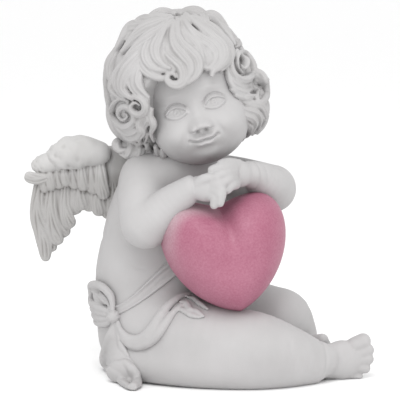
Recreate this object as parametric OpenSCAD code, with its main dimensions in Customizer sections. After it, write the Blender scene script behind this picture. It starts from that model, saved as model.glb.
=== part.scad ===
// Seated cherub figurine hugging a heart, in stone-filled resin, glued up from separate castings.
// +Z is up and the figurine stands on z = 0. Its display side faces -Y, with +X to the viewer's right.
// "Right" and "left" in the names are the cherub's own sides.

/* [Stance] */
// Angle that the chest is turned to the viewer's right, in degrees
facing = 40; // [34:1:46]
// How far the shoulders lean forward over the seat
lean = 10; // [7:0.5:13]

/* [Torso] */
// Width of the seat across the hips
seat_w = 43; // [40:0.5:46]
// Depth of the seat from front to back
seat_d = 39; // [36:0.5:42]
// Height at which the seat is fullest
seat_h = 20; // [17:0.5:22]
// Width of the belly
belly_w = 44; // [41:0.5:47]
// Depth of the belly
belly_d = 40; // [37:0.5:43]
// Height of the belly's fullest point
belly_h = 33; // [30:0.5:36]
// Width of the chest
chest_w = 42; // [39:0.5:45]
// Depth of the chest
chest_d = 34; // [31:0.5:37]
// Height of the chest's fullest point
chest_h = 56; // [53:0.5:58]
// Width across the shoulders, without the arms
shoulder_w = 40; // [37:0.5:43]
// Height of the shoulder line
shoulder_h = 65; // [63:0.5:68]
// Diameter of the neck
neck_d = 17; // [15:0.5:19]
// Height of the top of the neck
neck_h = 78; // [76:0.5:80]

/* [Head] */
// Width of the skull at the temples
head_w = 35; // [32:0.5:38]
// Depth of the skull from brow to nape
head_d = 40; // [37:0.5:43]
// Height of the head from chin to crown
head_h = 45; // [42:0.5:48]
// Tilt of the head towards the right shoulder, in degrees
head_tilt = 15; // [8:1:20]
// Turn of the face towards the viewer's right, in degrees
head_turn = 8; // [0:1:14]
// Lift of the gaze, in degrees
head_lift = 6; // [0:1:10]
// How far the tip of the nose stands out
nose_l = 3.2; // [2:0.2:4.5]
// How far the cheeks swell
cheek_l = 1.6; // [0.6:0.2:2.6]

/* [Hair] */
// Thickness of the hair over the skull
hair_t = 4.5; // [3.5:0.5:6]
// Radius of the large side curls
curl_r = 6; // [5:0.2:6.6]
// Thickness of a lock at the root of a curl
lock_d = 4.4; // [3.6:0.2:5.2]
// Length of the fringe locks over the forehead
fringe_l = 15; // [12:0.5:18]

/* [Arms] */
// Diameter of the upper arm
upper_arm_d = 17; // [15.5:0.5:19]
// Diameter of the arm at the elbow
elbow_d = 15.6; // [14:0.2:17]
// Diameter of the forearm
forearm_d = 14.2; // [12.5:0.2:15.5]
// Diameter of the wrist
wrist_d = 9.6; // [8.5:0.2:10.5]
// Thickness of the hand
hand_t = 8.6; // [7.5:0.2:9.6]
// Thickness of a finger
finger_d = 3.6; // [3:0.1:4.2]
// Length of a finger
finger_l = 6.5; // [5:0.5:8]

/* [Legs] */
// Diameter of the thigh at the hip
hip_d = 30; // [28:0.5:32]
// Diameter of the thigh at its middle
thigh_d = 27; // [25:0.5:29]
// Diameter of the leg at the knee
knee_d = 24; // [22:0.5:26]
// Diameter of the calf
calf_d = 19; // [17:0.5:21]
// Diameter of the ankle
ankle_d = 11.2; // [10:0.2:12.5]
// Width of the foot across the ball
foot_w = 13; // [11.5:0.5:14.5]
// Thickness of the foot
foot_t = 8; // [7:0.5:9]
// Diameter of the big toe
big_toe_d = 5.2; // [4.4:0.2:6]
// Diameter of the little toe
little_toe_d = 3.2; // [2.6:0.2:3.8]

/* [Heart] */
// Width of the heart across its lobes
heart_w = 39.5; // [36:0.5:42]
// Height of the heart from lobe to tip
heart_h = 37; // [33:0.5:39]
// Thickness of the heart
heart_t = 33; // [29:0.5:35]
// Tilt of the heart's tip to the viewer's right, in degrees
heart_tilt = 11; // [6:1:18]
// Height of the heart's middle above the floor
heart_z = 41.5; // [39:0.5:44]

/* [Wings] */
// Reach of a wing from its root
wing_span = 30; // [26:0.5:33]
// Height of the rolled edge above the wing's root
wing_rise = 11; // [8:0.5:14]
// Diameter of the wing's rolled leading edge
wing_roll_d = 11; // [9.2:0.2:12.8]
// Backward sweep of the wings, in degrees
wing_sweep = 45; // [40:1:50]
// Height of the wing root above the floor
wing_root_h = 61; // [58:0.5:63]
// Length of the longest flight feather
flight_l = 27.5; // [23:0.5:30]
// Width of a flight feather
flight_w = 5.4; // [4.4:0.2:6.4]
// Length of a covert feather
covert_l = 10; // [8:0.5:12]
// Width of a covert feather
covert_w = 4; // [3:0.2:4.8]
// Thickness of a feather
feather_t = 2.2; // [1.8:0.2:3.2]

/* [Cloth] */
// Width of the waist sash
sash_w = 5; // [4:0.2:6]
// Thickness of the waist sash
sash_t = 1.6; // [1.2:0.2:2.2]
// Diameter of the knot
knot_d = 6; // [5:0.2:7]
// Length of a bow loop
loop_l = 13; // [11:0.5:15]
// Thickness of the rolled cloth over the lap
swag_d = 5; // [4:0.2:6]
// Width of the hanging tail at the floor
tail_w = 13; // [11:0.5:15]
// Thickness of the hanging tail
tail_t = 4.6; // [3.8:0.2:5.6]

/* [Joints] */
// Diameter of the steel dowels
dowel_d = 3; // [2.5:0.1:3.5]
// Length of the steel dowels
dowel_l = 12; // [10:0.5:14]
// Diameter of the neck spigot
spigot_d = 8; // [7:0.2:9]
// Length of the neck spigot
spigot_l = 9; // [7:0.5:11]
// Radial room for glue around a dowel or spigot
glue_gap = 0.05; // [0.02:0.01:0.1]

/* [Hidden] */

// Frame of the body: the seat's centre, and the cherub's own forward, right and up directions.
// The pose's places grow with the figure, whose factor is 1 at the sizes above
figure = (seat_w + belly_w + chest_w + shoulder_w + shoulder_h + head_h) / 279;
seat_at = figure * [-14.1, 1.2, 0];
forward = [sin(facing), -cos(facing), 0];
rightward = [-cos(facing), -sin(facing), 0];
upward = [0, 0, 1];

// Facets round a limb and along it, and round the torso and the globes
limb_sides = 12;
limb_steps = 12;
torso_sides = 32;
torso_steps = 15;
globe_columns = 32;
globe_rows = 18;

function unit(v) = v / norm(v);
function flat(lists) = [for (l = lists) each l];
function body(f, s, u) = seat_at + f * forward + s * rightward + u * upward;
function posed(f, s, u) = body(f * figure, s * figure, u * figure);
function place(row) = [row[0], row[1], row[2]];
function across(v) = unit(cross(v, abs(v.z) < 0.9 ? [0, 0, 1] : [1, 0, 0]));
function ring(c, u, v, n) = [for (k = [0:n - 1]) c + cos(360 * k / n) * u + sin(360 * k / n) * v];
function bump(az, el, az0, el0, wide, tall) = exp(-pow((az - az0) / wide, 2) - pow((el - el0) / tall, 2));

// A smooth curve through whole rows of numbers; t counts the rows
function spline(rows, t) =
    let (i = min(floor(t), len(rows) - 2),
         f = t - i,
         a = rows[max(i - 1, 0)],
         b = rows[i],
         c = rows[i + 1],
         d = rows[min(i + 2, len(rows) - 1)])
    0.5 * (2 * b + (c - a) * f + (2 * a - 5 * b + 4 * c - d) * f * f + (3 * b - a - 3 * c + d) * f * f * f);

function heading(rows, t) =
    unit(place(spline(rows, min(t + 0.05, len(rows) - 1))) - place(spline(rows, max(t - 0.05, 0))));

function round_ring(c, n, r, sides, hint = undef) =
    let (u = is_undef(hint) ? across(n) : unit(cross(n, hint)), w = cross(n, u))
    ring(c, r * u, r * w, sides);

// Rings of a round limb along rows of [x, y, z, radius], with a domed end at each side;
// a limb that bends between level and upright takes a hint across its bend, so its rings don't twist
function limb(rows, steps = limb_steps, sides = limb_sides, dome = [40, 75], hint = undef) =
    let (last = len(rows) - 1,
         count = len(dome),
         stations = concat([for (i = [count - 1:-1:0]) [0, -sin(dome[i]), cos(dome[i])]],
                           [for (i = [0:steps]) [last * i / steps, 0, 1]],
                           [for (a = dome) [last, sin(a), cos(a)]]))
    [for (s = stations)
        let (row = spline(rows, s[0]), n = heading(rows, s[0]))
        round_ring(place(row) + n * row[3] * s[1], n, row[3] * s[2], sides, hint)];

// Rings of a small thing such as a finger, a toe or a lock of hair
function twig(rows, steps = 1) = limb(rows, steps, 6, [55]);

// Rings of a flat leaf from its root to its tip, w wide along its side, t thick and bowed to that side
function leaf(root, tip, side, w, t, bow = 0, sides = 6) =
    let (face = unit(cross(tip - root, side)))
    [for (p = [[0, 0.7], [0.4, 1], [0.8, 0.9], [1, 0.3]])
        ring(root + (tip - root) * p[0] + side * bow * 4 * p[0] * (1 - p[0]),
             side * w / 2 * p[1], face * t / 2 * sqrt(p[1]), sides)];

// Rings of a blade along a line, each row [middle, half height, half thickness], upright on its edge
function blade(rows, n, sides = 10) =
    let (face = unit(cross(n, upward)))
    [for (row = rows) ring(row[0], row[1] * upward, row[2] * face, sides)];

// A closed body through rings, with flat ends; each ring runs counter-clockwise seen from the far end
module barrel(rings) {
    n = len(rings[0]);
    m = len(rings);
    low = [[for (k = [0:n - 1]) k]];
    high = [[for (k = [n - 1:-1:0]) (m - 1) * n + k]];
    sides = [for (i = [0:m - 2], k = [0:n - 1], half = [0, 1])
        half == 0 ? [i * n + k, (i + 1) * n + k, i * n + (k + 1) % n]
                  : [(i + 1) * n + k, (i + 1) * n + (k + 1) % n, i * n + (k + 1) % n]];
    polyhedron(points = flat(rings), faces = concat(low, high, sides));
}

// A closed hoop through rings, the last joined to the first
module hoop(rings) {
    n = len(rings[0]);
    m = len(rings);
    sides = [for (i = [0:m - 1], k = [0:n - 1], half = [0, 1])
        let (a = i * n, b = (i + 1) % m * n, next = (k + 1) % n)
        half == 0 ? [a + k, b + k, a + next] : [b + k, b + next, a + next]];
    polyhedron(points = flat(rings), faces = sides);
}

// A rounded body drawn tight over its rings
module pod(rings) {
    hull()
        barrel(rings);
}

// A closed body over a whole turn of az and a half turn of el; point_at gives the point for each pair,
// and a crowd over 1 gathers the columns towards az = 0
module globe(point_at, columns = globe_columns, rows = globe_rows, crowd = 1) {
    n = columns;
    m = rows - 1;
    points = concat([point_at(0, -90)],
                    [for (i = [1:m], k = [0:n - 1])
                        let (turn = 2 * k / n - 1)
                        point_at(180 * sign(turn) * pow(abs(turn), crowd), -90 + 180 * i / rows)],
                    [point_at(0, 90)]);
    low = [for (k = [0:n - 1]) [1 + k, 1 + (k + 1) % n, 0]];
    top = 1 + (m - 1) * n;
    high = [for (k = [0:n - 1]) [top + (k + 1) % n, top + k, top + n]];
    sides = [for (i = [0:m - 2], k = [0:n - 1], half = [0, 1])
        let (a = 1 + i * n + k, b = 1 + i * n + (k + 1) % n)
        half == 0 ? [a, a + n, b] : [a + n, b + n, b]];
    polyhedron(points = points, faces = concat(low, high, sides));
}

// A round rod centred on p along direction v
module rod(p, v, d, l) {
    translate(p)
        rotate([0, acos(v.z), atan2(v.y, v.x)])
            cylinder(d = d, h = l, center = true, $fn = 24);
}

// Everything that lies under the floor
module under_floor() {
    translate([-150, -150, -100])
        cube([300, 300, 100]);
}

// Torso: rows of [forward, up, half width, half depth]
floor_inset = seat_w * 0.0465;
neck_at = body(lean * 1.6, 0, neck_h);
torso_rows = [
    [0, 0, seat_w / 2 - floor_inset, seat_d / 2 - floor_inset],
    [0, seat_h * 0.45, seat_w / 2, seat_d / 2],
    [lean * 0.1, seat_h, seat_w / 2, seat_d / 2],
    [lean * 0.15, belly_h, belly_w / 2, belly_d / 2],
    [lean * 0.3, (belly_h + chest_h) / 2, (belly_w + chest_w) / 4, (belly_d + chest_d) / 4],
    [lean * 0.6, chest_h, chest_w / 2, chest_d / 2],
    [lean, shoulder_h, shoulder_w / 2, chest_d * 0.441],
    [lean * 1.3, (shoulder_h + neck_h) / 2, shoulder_w * 0.35, chest_d * 0.34],
    [lean * 1.5, neck_h - neck_d * 0.176, neck_d / 2, neck_d / 2],
    [lean * 1.6, neck_h, neck_d / 2, neck_d / 2]];

function torso_row(u) =
    spline(torso_rows, lookup(u, [for (i = [0:len(torso_rows) - 1]) [torso_rows[i][1], i]]));

// Point on the torso's skin at height u and angle a from its right side round to its front
function on_torso(u, a, out = 0) =
    let (row = torso_row(u))
    body(row[0] + (row[3] + out) * sin(a), (row[2] + out) * cos(a), u);

module torso_shape() {
    last = len(torso_rows) - 1;
    barrel([for (i = [0:torso_steps])
        let (row = spline(torso_rows, last * i / torso_steps))
        ring(body(row[0], 0, row[1]), row[2] * rightward, row[3] * forward, torso_sides)]);
}

// Dowels: each joint is [middle, direction]
function wing_out(side) = side * cos(wing_sweep) * rightward - sin(wing_sweep) * forward;
function wing_face(side) = cos(wing_sweep) * forward + side * sin(wing_sweep) * rightward;
function wing_root(side) = body(-7 * figure, side * 9 * figure, wing_root_h);
heart_at = body(36 * figure, 0.8 * figure, heart_z);
hip_right = body(10.7 * figure, seat_w * 0.2093, hip_d / 2);
mid_thigh_right = body(31.7 * figure, seat_w * 0.1326, thigh_d * 0.47);
hip_left = body(3 * figure, -seat_w * 0.2907, hip_d * 0.533);
mid_thigh_left = body(15.2 * figure, -20.6 * figure, thigh_d * 0.63);
joints = [
    [body(12.5 * figure, shoulder_w * 0.4625, shoulder_h - upper_arm_d * 0.229), rightward],
    [body(12.5 * figure, -shoulder_w * 0.41, shoulder_h - upper_arm_d * 0.114), -rightward],
    [wing_root(1), wing_out(1)],
    [wing_root(-1), wing_out(-1)],
    [hip_right + 0.44 * (mid_thigh_right - hip_right), unit(mid_thigh_right - hip_right)],
    [hip_left + 0.64 * (mid_thigh_left - hip_left), unit(mid_thigh_left - hip_left)],
    [body(22.4 * figure, 0.8 * figure, heart_z), forward]];

module dowel_holes() {
    for (j = joints)
        rod(j[0], j[1], dowel_d + 2 * glue_gap, dowel_l + 2 * glue_gap);
}

module torso() {
    color("gainsboro")
        difference() {
            torso_shape();
            dowel_holes();
            translate(neck_at - [0, 0, spigot_l + glue_gap])
                cylinder(d = spigot_d + 2 * glue_gap, h = spigot_l + 5, $fn = 64);
        }
}

module joint_dowels() {
    color("silver")
        for (j = joints)
            rod(j[0], j[1], dowel_d, dowel_l);
}

// Head: an egg with the child's brow, cheeks, nose, lips and chin raised on it
chin_drop = head_h * 0.193;
head_at = neck_at + head_d * 0.06 * forward + (head_h / 2 - chin_drop) * upward;

module head_frame() {
    translate(head_at)
        rotate([-head_lift, -head_tilt, head_turn])
            children();
}

function toward(az, el) = [sin(az) * cos(el), -cos(az) * cos(el), sin(el)];

function egg(az, el) =
    let (d = toward(az, el))
    1 / norm([d.x / (head_w / 2), d.y / (head_d / 2), d.z / (head_h / 2)]);

function features(az, el) =
    nose_l * bump(az, el, 0, -30, 8, 8)
    + cheek_l * bump(abs(az), el, 29, -35, 17, 14)
    + head_h * 0.04 * bump(az, el, 0, -40, 55, 22)
    + head_h * 0.031 * bump(az, el, 0, -54, 14, 8)
    + head_h * 0.018 * bump(az, el, 0, 20, 40, 24)
    - head_h * 0.029 * bump(abs(az), el, 19, -15, 10, 7)
    + head_h * 0.018 * bump(az, el, 0, -40, 13, 3.5);

module head_shape() {
    head_frame()
        globe(function(az, el) toward(az, el) * (egg(az, el) + features(az, el)), 24, 32, 1.6);
}

module head() {
    color("whitesmoke")
        union() {
            difference() {
                head_shape();
                torso_shape();
            }
            translate(neck_at - [0, 0, spigot_l])
                cylinder(d = spigot_d, h = spigot_l + 5, $fn = 64);
        }
}

// Legs: rows of [x, y, z, radius] from hip to ankle, then the foot and its toes
knee_right = body(44.4 * figure, -3.2 * figure, knee_d * 0.475);
calf_right = body(48.4 * figure, -14.2 * figure, calf_d * 0.532);
ankle_right = posed(50.3, -25.7, 7.6);
ball_right = posed(55, -38, 7.8);
knee_left = body(28 * figure, -27.2 * figure, knee_d * 0.76);
calf_left = body(29.5 * figure, -32 * figure, calf_d * 0.6);
ankle_left = body(33 * figure, -33 * figure, ankle_d * 0.455);
ball_left = posed(39.5, -34.5, 8.5);
toe_count = 5;

// Foot from the ankle to the ball, foot_w wide along side; the toes run on past the ball
module foot(ankle, ball, side, reach) {
    along = unit(ball - ankle);
    face = unit(cross(along, side));
    pod([for (p = [[-0.25, 0.5, 0.9], [0, 0.62, 1.1], [0.4, 0.84, 1.05], [0.8, 1, 0.9], [1, 0.92, 0.66]])
        ring(ankle + (ball - ankle) * p[0], side * foot_w / 2 * p[1], face * foot_t / 2 * p[2], limb_sides)]);
    for (i = [0:toe_count - 1])
        let (f = i / (toe_count - 1),
             d = big_toe_d + (little_toe_d - big_toe_d) * f,
             from = ball + side * (0.4 - 0.8 * f) * foot_w,
             to = from + along * reach * (1 - 0.35 * f))
            pod(twig([concat(from, [d / 2]), concat(to, [d / 2])]));
}

module right_leg_shape() {
    difference() {
        union() {
            barrel(limb([concat(hip_right, [hip_d / 2]), concat(mid_thigh_right, [thigh_d / 2]),
                       concat(knee_right, [knee_d / 2]), concat(calf_right, [calf_d / 2]),
                       concat(ankle_right, [ankle_d / 2])], 12));
            foot(ankle_right, ball_right, unit([0.05, 0.1, 1]), big_toe_d * 0.77);
        }
        under_floor();
    }
}

module left_leg_shape() {
    difference() {
        union() {
            barrel(limb([concat(hip_left, [hip_d / 2]), concat(mid_thigh_left, [thigh_d / 2]),
                       concat(knee_left, [knee_d * 0.48]), concat(calf_left, [calf_d * 0.474]),
                       concat(ankle_left, [ankle_d / 2])], 12, hint = rightward));
            foot(ankle_left, ball_left, unit([-0.6, 0.5, 0.6]), big_toe_d * 0.77);
        }
        under_floor();
    }
}

module right_leg() {
    color("whitesmoke")
        difference() {
            right_leg_shape();
            torso_shape();
            dowel_holes();
        }
}

module left_leg() {
    color("whitesmoke")
        difference() {
            left_leg_shape();
            torso_shape();
            right_leg_shape();
            dowel_holes();
        }
}

// Heart: a puffed body whose outline has two round lobes and a blunt tip, with a cleft down its front
heart_lobes = 13;
heart_notch = 3;
heart_waist = 1.4;
heart_fullness = 1.75;
heart_cleft = heart_t * 0.08;
heart_unit = heart_h / (heart_lobes * 1.955);

function heart_outline(a) =
    [heart_w / 2 * sign(sin(a)) * pow(abs(sin(a)), heart_fullness),
     heart_unit * (heart_lobes * cos(a) - heart_notch * cos(2 * a) - heart_waist * cos(3 * a) + 2)];

module heart_shape() {
    translate(heart_at)
        rotate([0, -heart_tilt, head_turn])
            globe(function(az, el)
                let (o = heart_outline(az) * pow(max(cos(el), 0), 0.78),
                     near = exp(-pow(o.x / heart_w * 16, 2)) * max(o.y / heart_h * 3, 0),
                     cleft = heart_cleft * near * max(-sin(el), 0))
                [o.x, heart_t / 2 * sin(el) + cleft, o.y], 32, 14);
}

module heart() {
    color("palevioletred")
        difference() {
            heart_shape();
            torso_shape();
            right_leg_shape();
            left_leg_shape();
            dowel_holes();
        }
}

// Arms: shoulder to wrist, then a palm and its fingers
wrist_right = posed(33.5, 16, 63);
palm_right = posed(37, 12.6, 64);
wrist_left = posed(38.9, -2.6, 68.2);
palm_left = posed(41.6, 4, 70);
finger_count = 4;

// Hand on a palm: fingers run along reach, stacked along stack and bent along drop; the thumb lies above
module hand(wrist, palm, reach, stack, drop) {
    pod(limb([concat(wrist, [wrist_d * 0.469]), concat(palm, [hand_t / 2])], 1, 10, [50]));
    for (i = [0:finger_count - 1])
        let (f = i - (finger_count - 1) / 2,
             from = palm + stack * f * finger_d * 0.805,
             bend = from + reach * finger_l * 0.6 + drop * finger_d * 0.11,
             to = from + reach * finger_l * (1 - 0.077 * abs(f)) + drop * finger_d * 0.556)
            union() {
                pod(twig([concat(from, [finger_d / 2]), concat(bend, [finger_d / 2])]));
                pod(twig([concat(bend, [finger_d * 0.47]), concat(to, [finger_d * 0.417])]));
            }
    pod(twig([concat(wrist + stack * wrist_d * 0.3, [finger_d / 2]),
              concat(palm + stack * hand_t * 0.5 + reach * finger_l * 0.154, [finger_d / 2])]));
}

module right_arm_shape() {
    barrel(limb([concat(body(lean, 14.5 * figure, shoulder_h), [upper_arm_d / 2]),
               concat(body(15 * figure, 19.4 * figure, shoulder_h - upper_arm_d * 0.4), [upper_arm_d / 2]),
               concat(posed(20.8, 22.2, 52), [elbow_d / 2]),
               concat(posed(27, 20.5, 56.5), [forearm_d / 2]),
               concat(wrist_right, [wrist_d / 2])], 11));
    hand(wrist_right, palm_right, unit(0.56 * forward - 0.7 * rightward - 0.42 * upward),
         unit(0.3 * forward - 0.4 * rightward + 0.8 * upward), -upward);
}

module left_arm_shape() {
    barrel(limb([concat(body(lean, -14.5 * figure, shoulder_h), [upper_arm_d / 2]),
               concat(body(20 * figure, -19.5 * figure, shoulder_h - upper_arm_d * 0.0286), [upper_arm_d / 2]),
               concat(posed(32, -21.5, 63), [elbow_d / 2]),
               concat(posed(37, -13, 65.8), [forearm_d / 2]),
               concat(wrist_left, [wrist_d / 2])], 11));
    hand(wrist_left, palm_left, unit(0.1 * forward + 0.95 * rightward + 0.1 * upward), upward, -forward);
}

module right_arm() {
    color("whitesmoke")
        difference() {
            right_arm_shape();
            torso_shape();
            heart_shape();
            head_shape();
            dowel_holes();
        }
}

module left_arm() {
    color("whitesmoke")
        difference() {
            left_arm_shape();
            torso_shape();
            heart_shape();
            head_shape();
            right_arm_shape();
            dowel_holes();
        }
}

// Wings: a rolled leading edge in two lobes over a row of coverts and a row of flight feathers, on a web.
// Places on a wing are [reach, stand-off, height] from its root
covert_count = 8;
function wing(side, s, n, h) = wing_root(side) + s * wing_out(side) + n * wing_face(side) + h * upward;

// Rolled edge: rows of [reach, stand-off, height, radius] as parts of the span, the roll's radius and the rise
shoulder_roll = [[0.12, 0.46, 0.86, 0.44], [0.18, 0.54, 0.9, 0.67], [0.3, 0.57, 0.94, 0.84],
                 [0.45, 0.57, 1, 1], [0.6, 0.54, 0.98, 0.91], [0.71, 0.48, 0.92, 0.72],
                 [0.76, 0.45, 0.89, 0.46]];
tip_roll = [[0.65, 0.46, 0.73, 0.47], [0.75, 0.43, 0.7, 0.55], [0.87, 0.39, 0.63, 0.5],
            [0.95, 0.32, 0.56, 0.34], [0.98, 0.29, 0.52, 0.2]];
// Web: rows of [reach, height, half height, half thickness] in millimetres at the figure's size
web_rows = [[-4, 3.5, 6.5, 3], [3, 4.8, 7.6, 2.6], [10, 4.5, 6.6, 2.2], [18, 4.5, 5.6, 2.1],
            [26, 3.5, 4.2, 1.8]];
// Flight feathers: rows of [root reach, tip reach, length] as parts of the span and the longest feather
flights = [[0.19, 0.145, 0.49], [0.28, 0.24, 0.45], [0.375, 0.345, 0.4], [0.475, 0.44, 0.38],
           [0.545, 0.495, 0.44], [0.625, 0.545, 0.6], [0.7, 0.605, 0.72], [0.775, 0.69, 0.83],
           [0.85, 0.775, 0.93], [0.92, 0.87, 1]];

module wing_shape(side) {
    r = wing_roll_d / 2;
    out = wing_out(side);
    for (rows = [shoulder_roll, tip_roll])
        barrel(limb([for (p = rows)
            concat(wing(side, wing_span * p[0], r * p[1], wing_rise * p[2]), [r * p[3]])], 9, 10));
    barrel(blade([for (p = figure * web_rows) [wing(side, p[0], 0, p[1]), p[2], p[3]]], out));
    for (i = [0:len(flights) - 1])
        let (p = flights[i],
             layer = feather_t * (0.15 + 0.3 * (i % 2)),
             root = wing(side, wing_span * p[0], layer, 3 * figure),
             tip = wing(side, wing_span * p[1], layer - feather_t * 0.15, 3 * figure - flight_l * p[2]))
            pod(leaf(root, tip, out, flight_w, feather_t, flight_w * 0.12 * p[2]));
    for (i = [0:covert_count - 1])
        let (f = i / (covert_count - 1),
             l = covert_l * (1.09 - 1.3 * f + 0.92 * f * f),
             layer = feather_t * (0.75 + 0.2 * (i % 2)),
             high = (6.2 - 1.8 * f) * figure,
             root = wing(side, wing_span * (0.233 + 0.633 * f), layer, high),
             tip = wing(side, wing_span * (0.18 + 0.657 * f), layer, high - l))
            pod(leaf(root, tip, out, covert_w, feather_t * 1.5));
    pod(leaf(wing(side, wing_span * 0.8, feather_t * 1.4, 2.6 * figure),
             wing(side, wing_span * 1.06, feather_t * 1.4, 3 * figure), upward, covert_w, feather_t * 0.8));
}

module wing_cast(side) {
    difference() {
        wing_shape(side);
        torso_shape();
        right_arm_shape();
        left_arm_shape();
        hair_mass();
        dowel_holes();
    }
}

module right_wing() {
    color("gainsboro")
        wing_cast(1);
}

module left_wing() {
    color("gainsboro")
        wing_cast(-1);
}

// Hair: a thick cap with locks combed down from the crown, and snail curls round the sides and back
hair_line = head_h * 0.2;
face_w = head_w * 1.06;
hair_middle = [-head_w * 0.017, head_d * 0.04, head_h * 0.031];
hair_half = [head_w / 2 + hair_t * 1.8, head_d / 2 + hair_t, head_h / 2 + hair_t * 0.3];

// Point on the hair's egg along az, el from the middle of the head, or out of it
function on_hair(az, el, out = 0) =
    let (d = toward(az, el),
         e = [for (k = [0:2]) d[k] / hair_half[k]],
         c = [for (k = [0:2]) hair_middle[k] / hair_half[k]])
    d * ((e * c + sqrt(pow(e * c, 2) - (e * e) * (c * c - 1))) / (e * e) + out);

// A round step of a curl about c, each row [height along n, radius]
module coil(c, n, rows) {
    pod([for (row = rows) round_ring(c + n * row[0], n, row[1], 8)]);
}

// A snail curl lying on the hair at az, el: two coils that step up and in towards its heart
module curl(az, el, r, d, hand) {
    n = toward(az, el);
    c = on_hair(az, el);
    inward = across(n) * r * 0.2 * hand;
    coil(c, n, [[-1.5, r * 0.94], [d * 0.2, r], [d * 0.6, r * 0.78]]);
    coil(c + inward, n, [[-1, r * 0.5], [d * 0.85, r * 0.52], [d * 1.05, r * 0.34]]);
}

module hair_core() {
    head_frame()
        globe(function(az, el) on_hair(az, el), 22, 11);
}

module face_opening() {
    translate([0, -head_d * 0.55, -head_h * 0.24])
        scale([face_w / 2, head_d * 0.6, hair_line + head_h * 0.24])
            sphere(r = 1, $fn = 20);
    translate([-head_w, -head_d, -head_h])
        cube([head_w * 2, head_d * 2, head_h * 0.58]);
}

// Locks combed outward from the crown
lock_count = 8;
module crown_locks() {
    for (i = [0:lock_count - 1])
        let (az = 360 / lock_count * i + 20)
            pod(twig([concat(on_hair(az - 8, 84, -1), [lock_d * 0.42]),
                      concat(on_hair(az, 70, -0.4), [lock_d * 0.55]),
                      concat(on_hair(az + 12, 56, -0.6), [lock_d * 0.4])], 2));
}

// Three rows of snail curls down one side of the head, side = -1 for the right and 1 for the left
module side_curls(side) {
    for (row = [0:2], i = [0:row == 2 ? 1 : 2])
        let (el = 30 - 27 * row,
             az = side * (72 + 36 * i + 10 * (row % 2)),
             size = curl_r * (1.08 - 0.1 * ((row + i) % 3)))
            curl(az, el, size, lock_d * 0.45, (row + i) % 2 == 0 ? 1 : -1);
}

module hair_mass() {
    hair_core();
    head_frame() {
        crown_locks();
        side_curls(-1);
        side_curls(1);
    }
}

module hair_cap() {
    color("linen")
        difference() {
            hair_mass();
            head_frame()
                face_opening();
            head_shape();
            torso_shape();
            right_arm_shape();
            left_arm_shape();
        }
}

// Fringe: locks over the brow, each rolled into a curl at its end
fringe_count = 4;
module fringe_shape() {
    head_frame()
        for (i = [0:fringe_count - 1])
            let (az = -42 + 84 / (fringe_count - 1) * i,
                 low = 46 - fringe_l)
                union() {
                    pod(twig([concat(on_hair(az * 0.8, 46, -0.6), [lock_d * 0.42]),
                              concat(on_hair(az * 0.9, 40, 0.2), [lock_d * 0.5]),
                              concat(on_hair(az, low, 0.2), [lock_d * 0.42])], 2));
                    curl(az, low - 8, curl_r * 0.66, lock_d * 0.6, i % 2 == 0 ? 1 : -1);
                }
}

module hair_fringe() {
    color("linen")
        difference() {
            fringe_shape();
            head_shape();
            difference() {
                hair_mass();
                head_frame()
                    face_opening();
            }
        }
}

// Cloth: a sash round the waist, its bow and knot on the right hip, a roll over the lap and a tail
sash_low = seat_h * 1.2;
sash_high = belly_h * 1.212;
knot_angle = 13;
knot_at = on_torso(sash_low - sash_w * 0.1, knot_angle, knot_d * 0.2);

module sash_shape() {
    steps = 30;
    hoop([for (i = [0:steps - 1])
        let (a = knot_angle + 360 * i / steps,
             u = (sash_low + sash_high) / 2 - (sash_high - sash_low) / 2 * cos(a - knot_angle + 20))
        [on_torso(u + sash_w / 2, a, -sash_w * 0.2), on_torso(u + sash_w / 2, a, sash_t * 0.5),
         on_torso(u, a, sash_t),
         on_torso(u - sash_w / 2, a, sash_t * 0.5), on_torso(u - sash_w / 2, a, -sash_w * 0.2)]]);
}

module waist_sash() {
    color("whitesmoke")
        difference() {
            sash_shape();
            torso_shape();
            heart_shape();
            right_leg_shape();
            left_leg_shape();
        }
}

function hip_point(a, u, out) = on_torso(u, knot_angle + a, out);

module swag_shape() {
    r = swag_d / 2;
    lap = seat_w / 43;
    barrel(limb([concat(body(6 * figure, 21.5 * lap, seat_h), [r]),
                 concat(body(14.9 * figure, 23.7 * lap, thigh_d * 0.541), [r * 1.1]),
                 concat(body(22.9 * figure, 22.1 * lap, thigh_d * 0.504), [r * 1.1]),
                 concat(body(27.5 * figure, 19.6 * lap, thigh_d * 0.659), [r * 1.1]),
                 concat(body(29.3 * figure, 14.7 * lap, thigh_d * 0.904), [r]),
                 concat(body(27 * figure, 4.1 * lap, thigh_d * 1.059), [r * 0.8])], 10, 10));
}

module lap_swag() {
    color("whitesmoke")
        difference() {
            swag_shape();
            torso_shape();
            right_leg_shape();
            heart_shape();
            sash_shape();
            bow_shape();
        }
}

module drape_shape() {
    difference() {
        for (i = [0:3])
            let (a = (i - 1.5) * tail_w * 0.7 * 43 / seat_w)
                barrel(limb([concat(hip_point(-4 + a * 0.4, sash_low * 0.8, tail_t * 0.22), [tail_t * 0.4]),
                             concat(hip_point(-7 + a * 1.1, sash_low * 0.417, tail_t * 0.35), [tail_t * 0.52]),
                             concat(hip_point(-7 + a * 1.6, sash_low * 0.02, tail_t * 0.65), [tail_t * 0.65])],
                            4, 10));
        under_floor();
    }
}

module hip_drape() {
    color("whitesmoke")
        difference() {
            drape_shape();
            torso_shape();
            right_leg_shape();
            swag_shape();
            sash_shape();
            bow_shape();
        }
}

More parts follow.
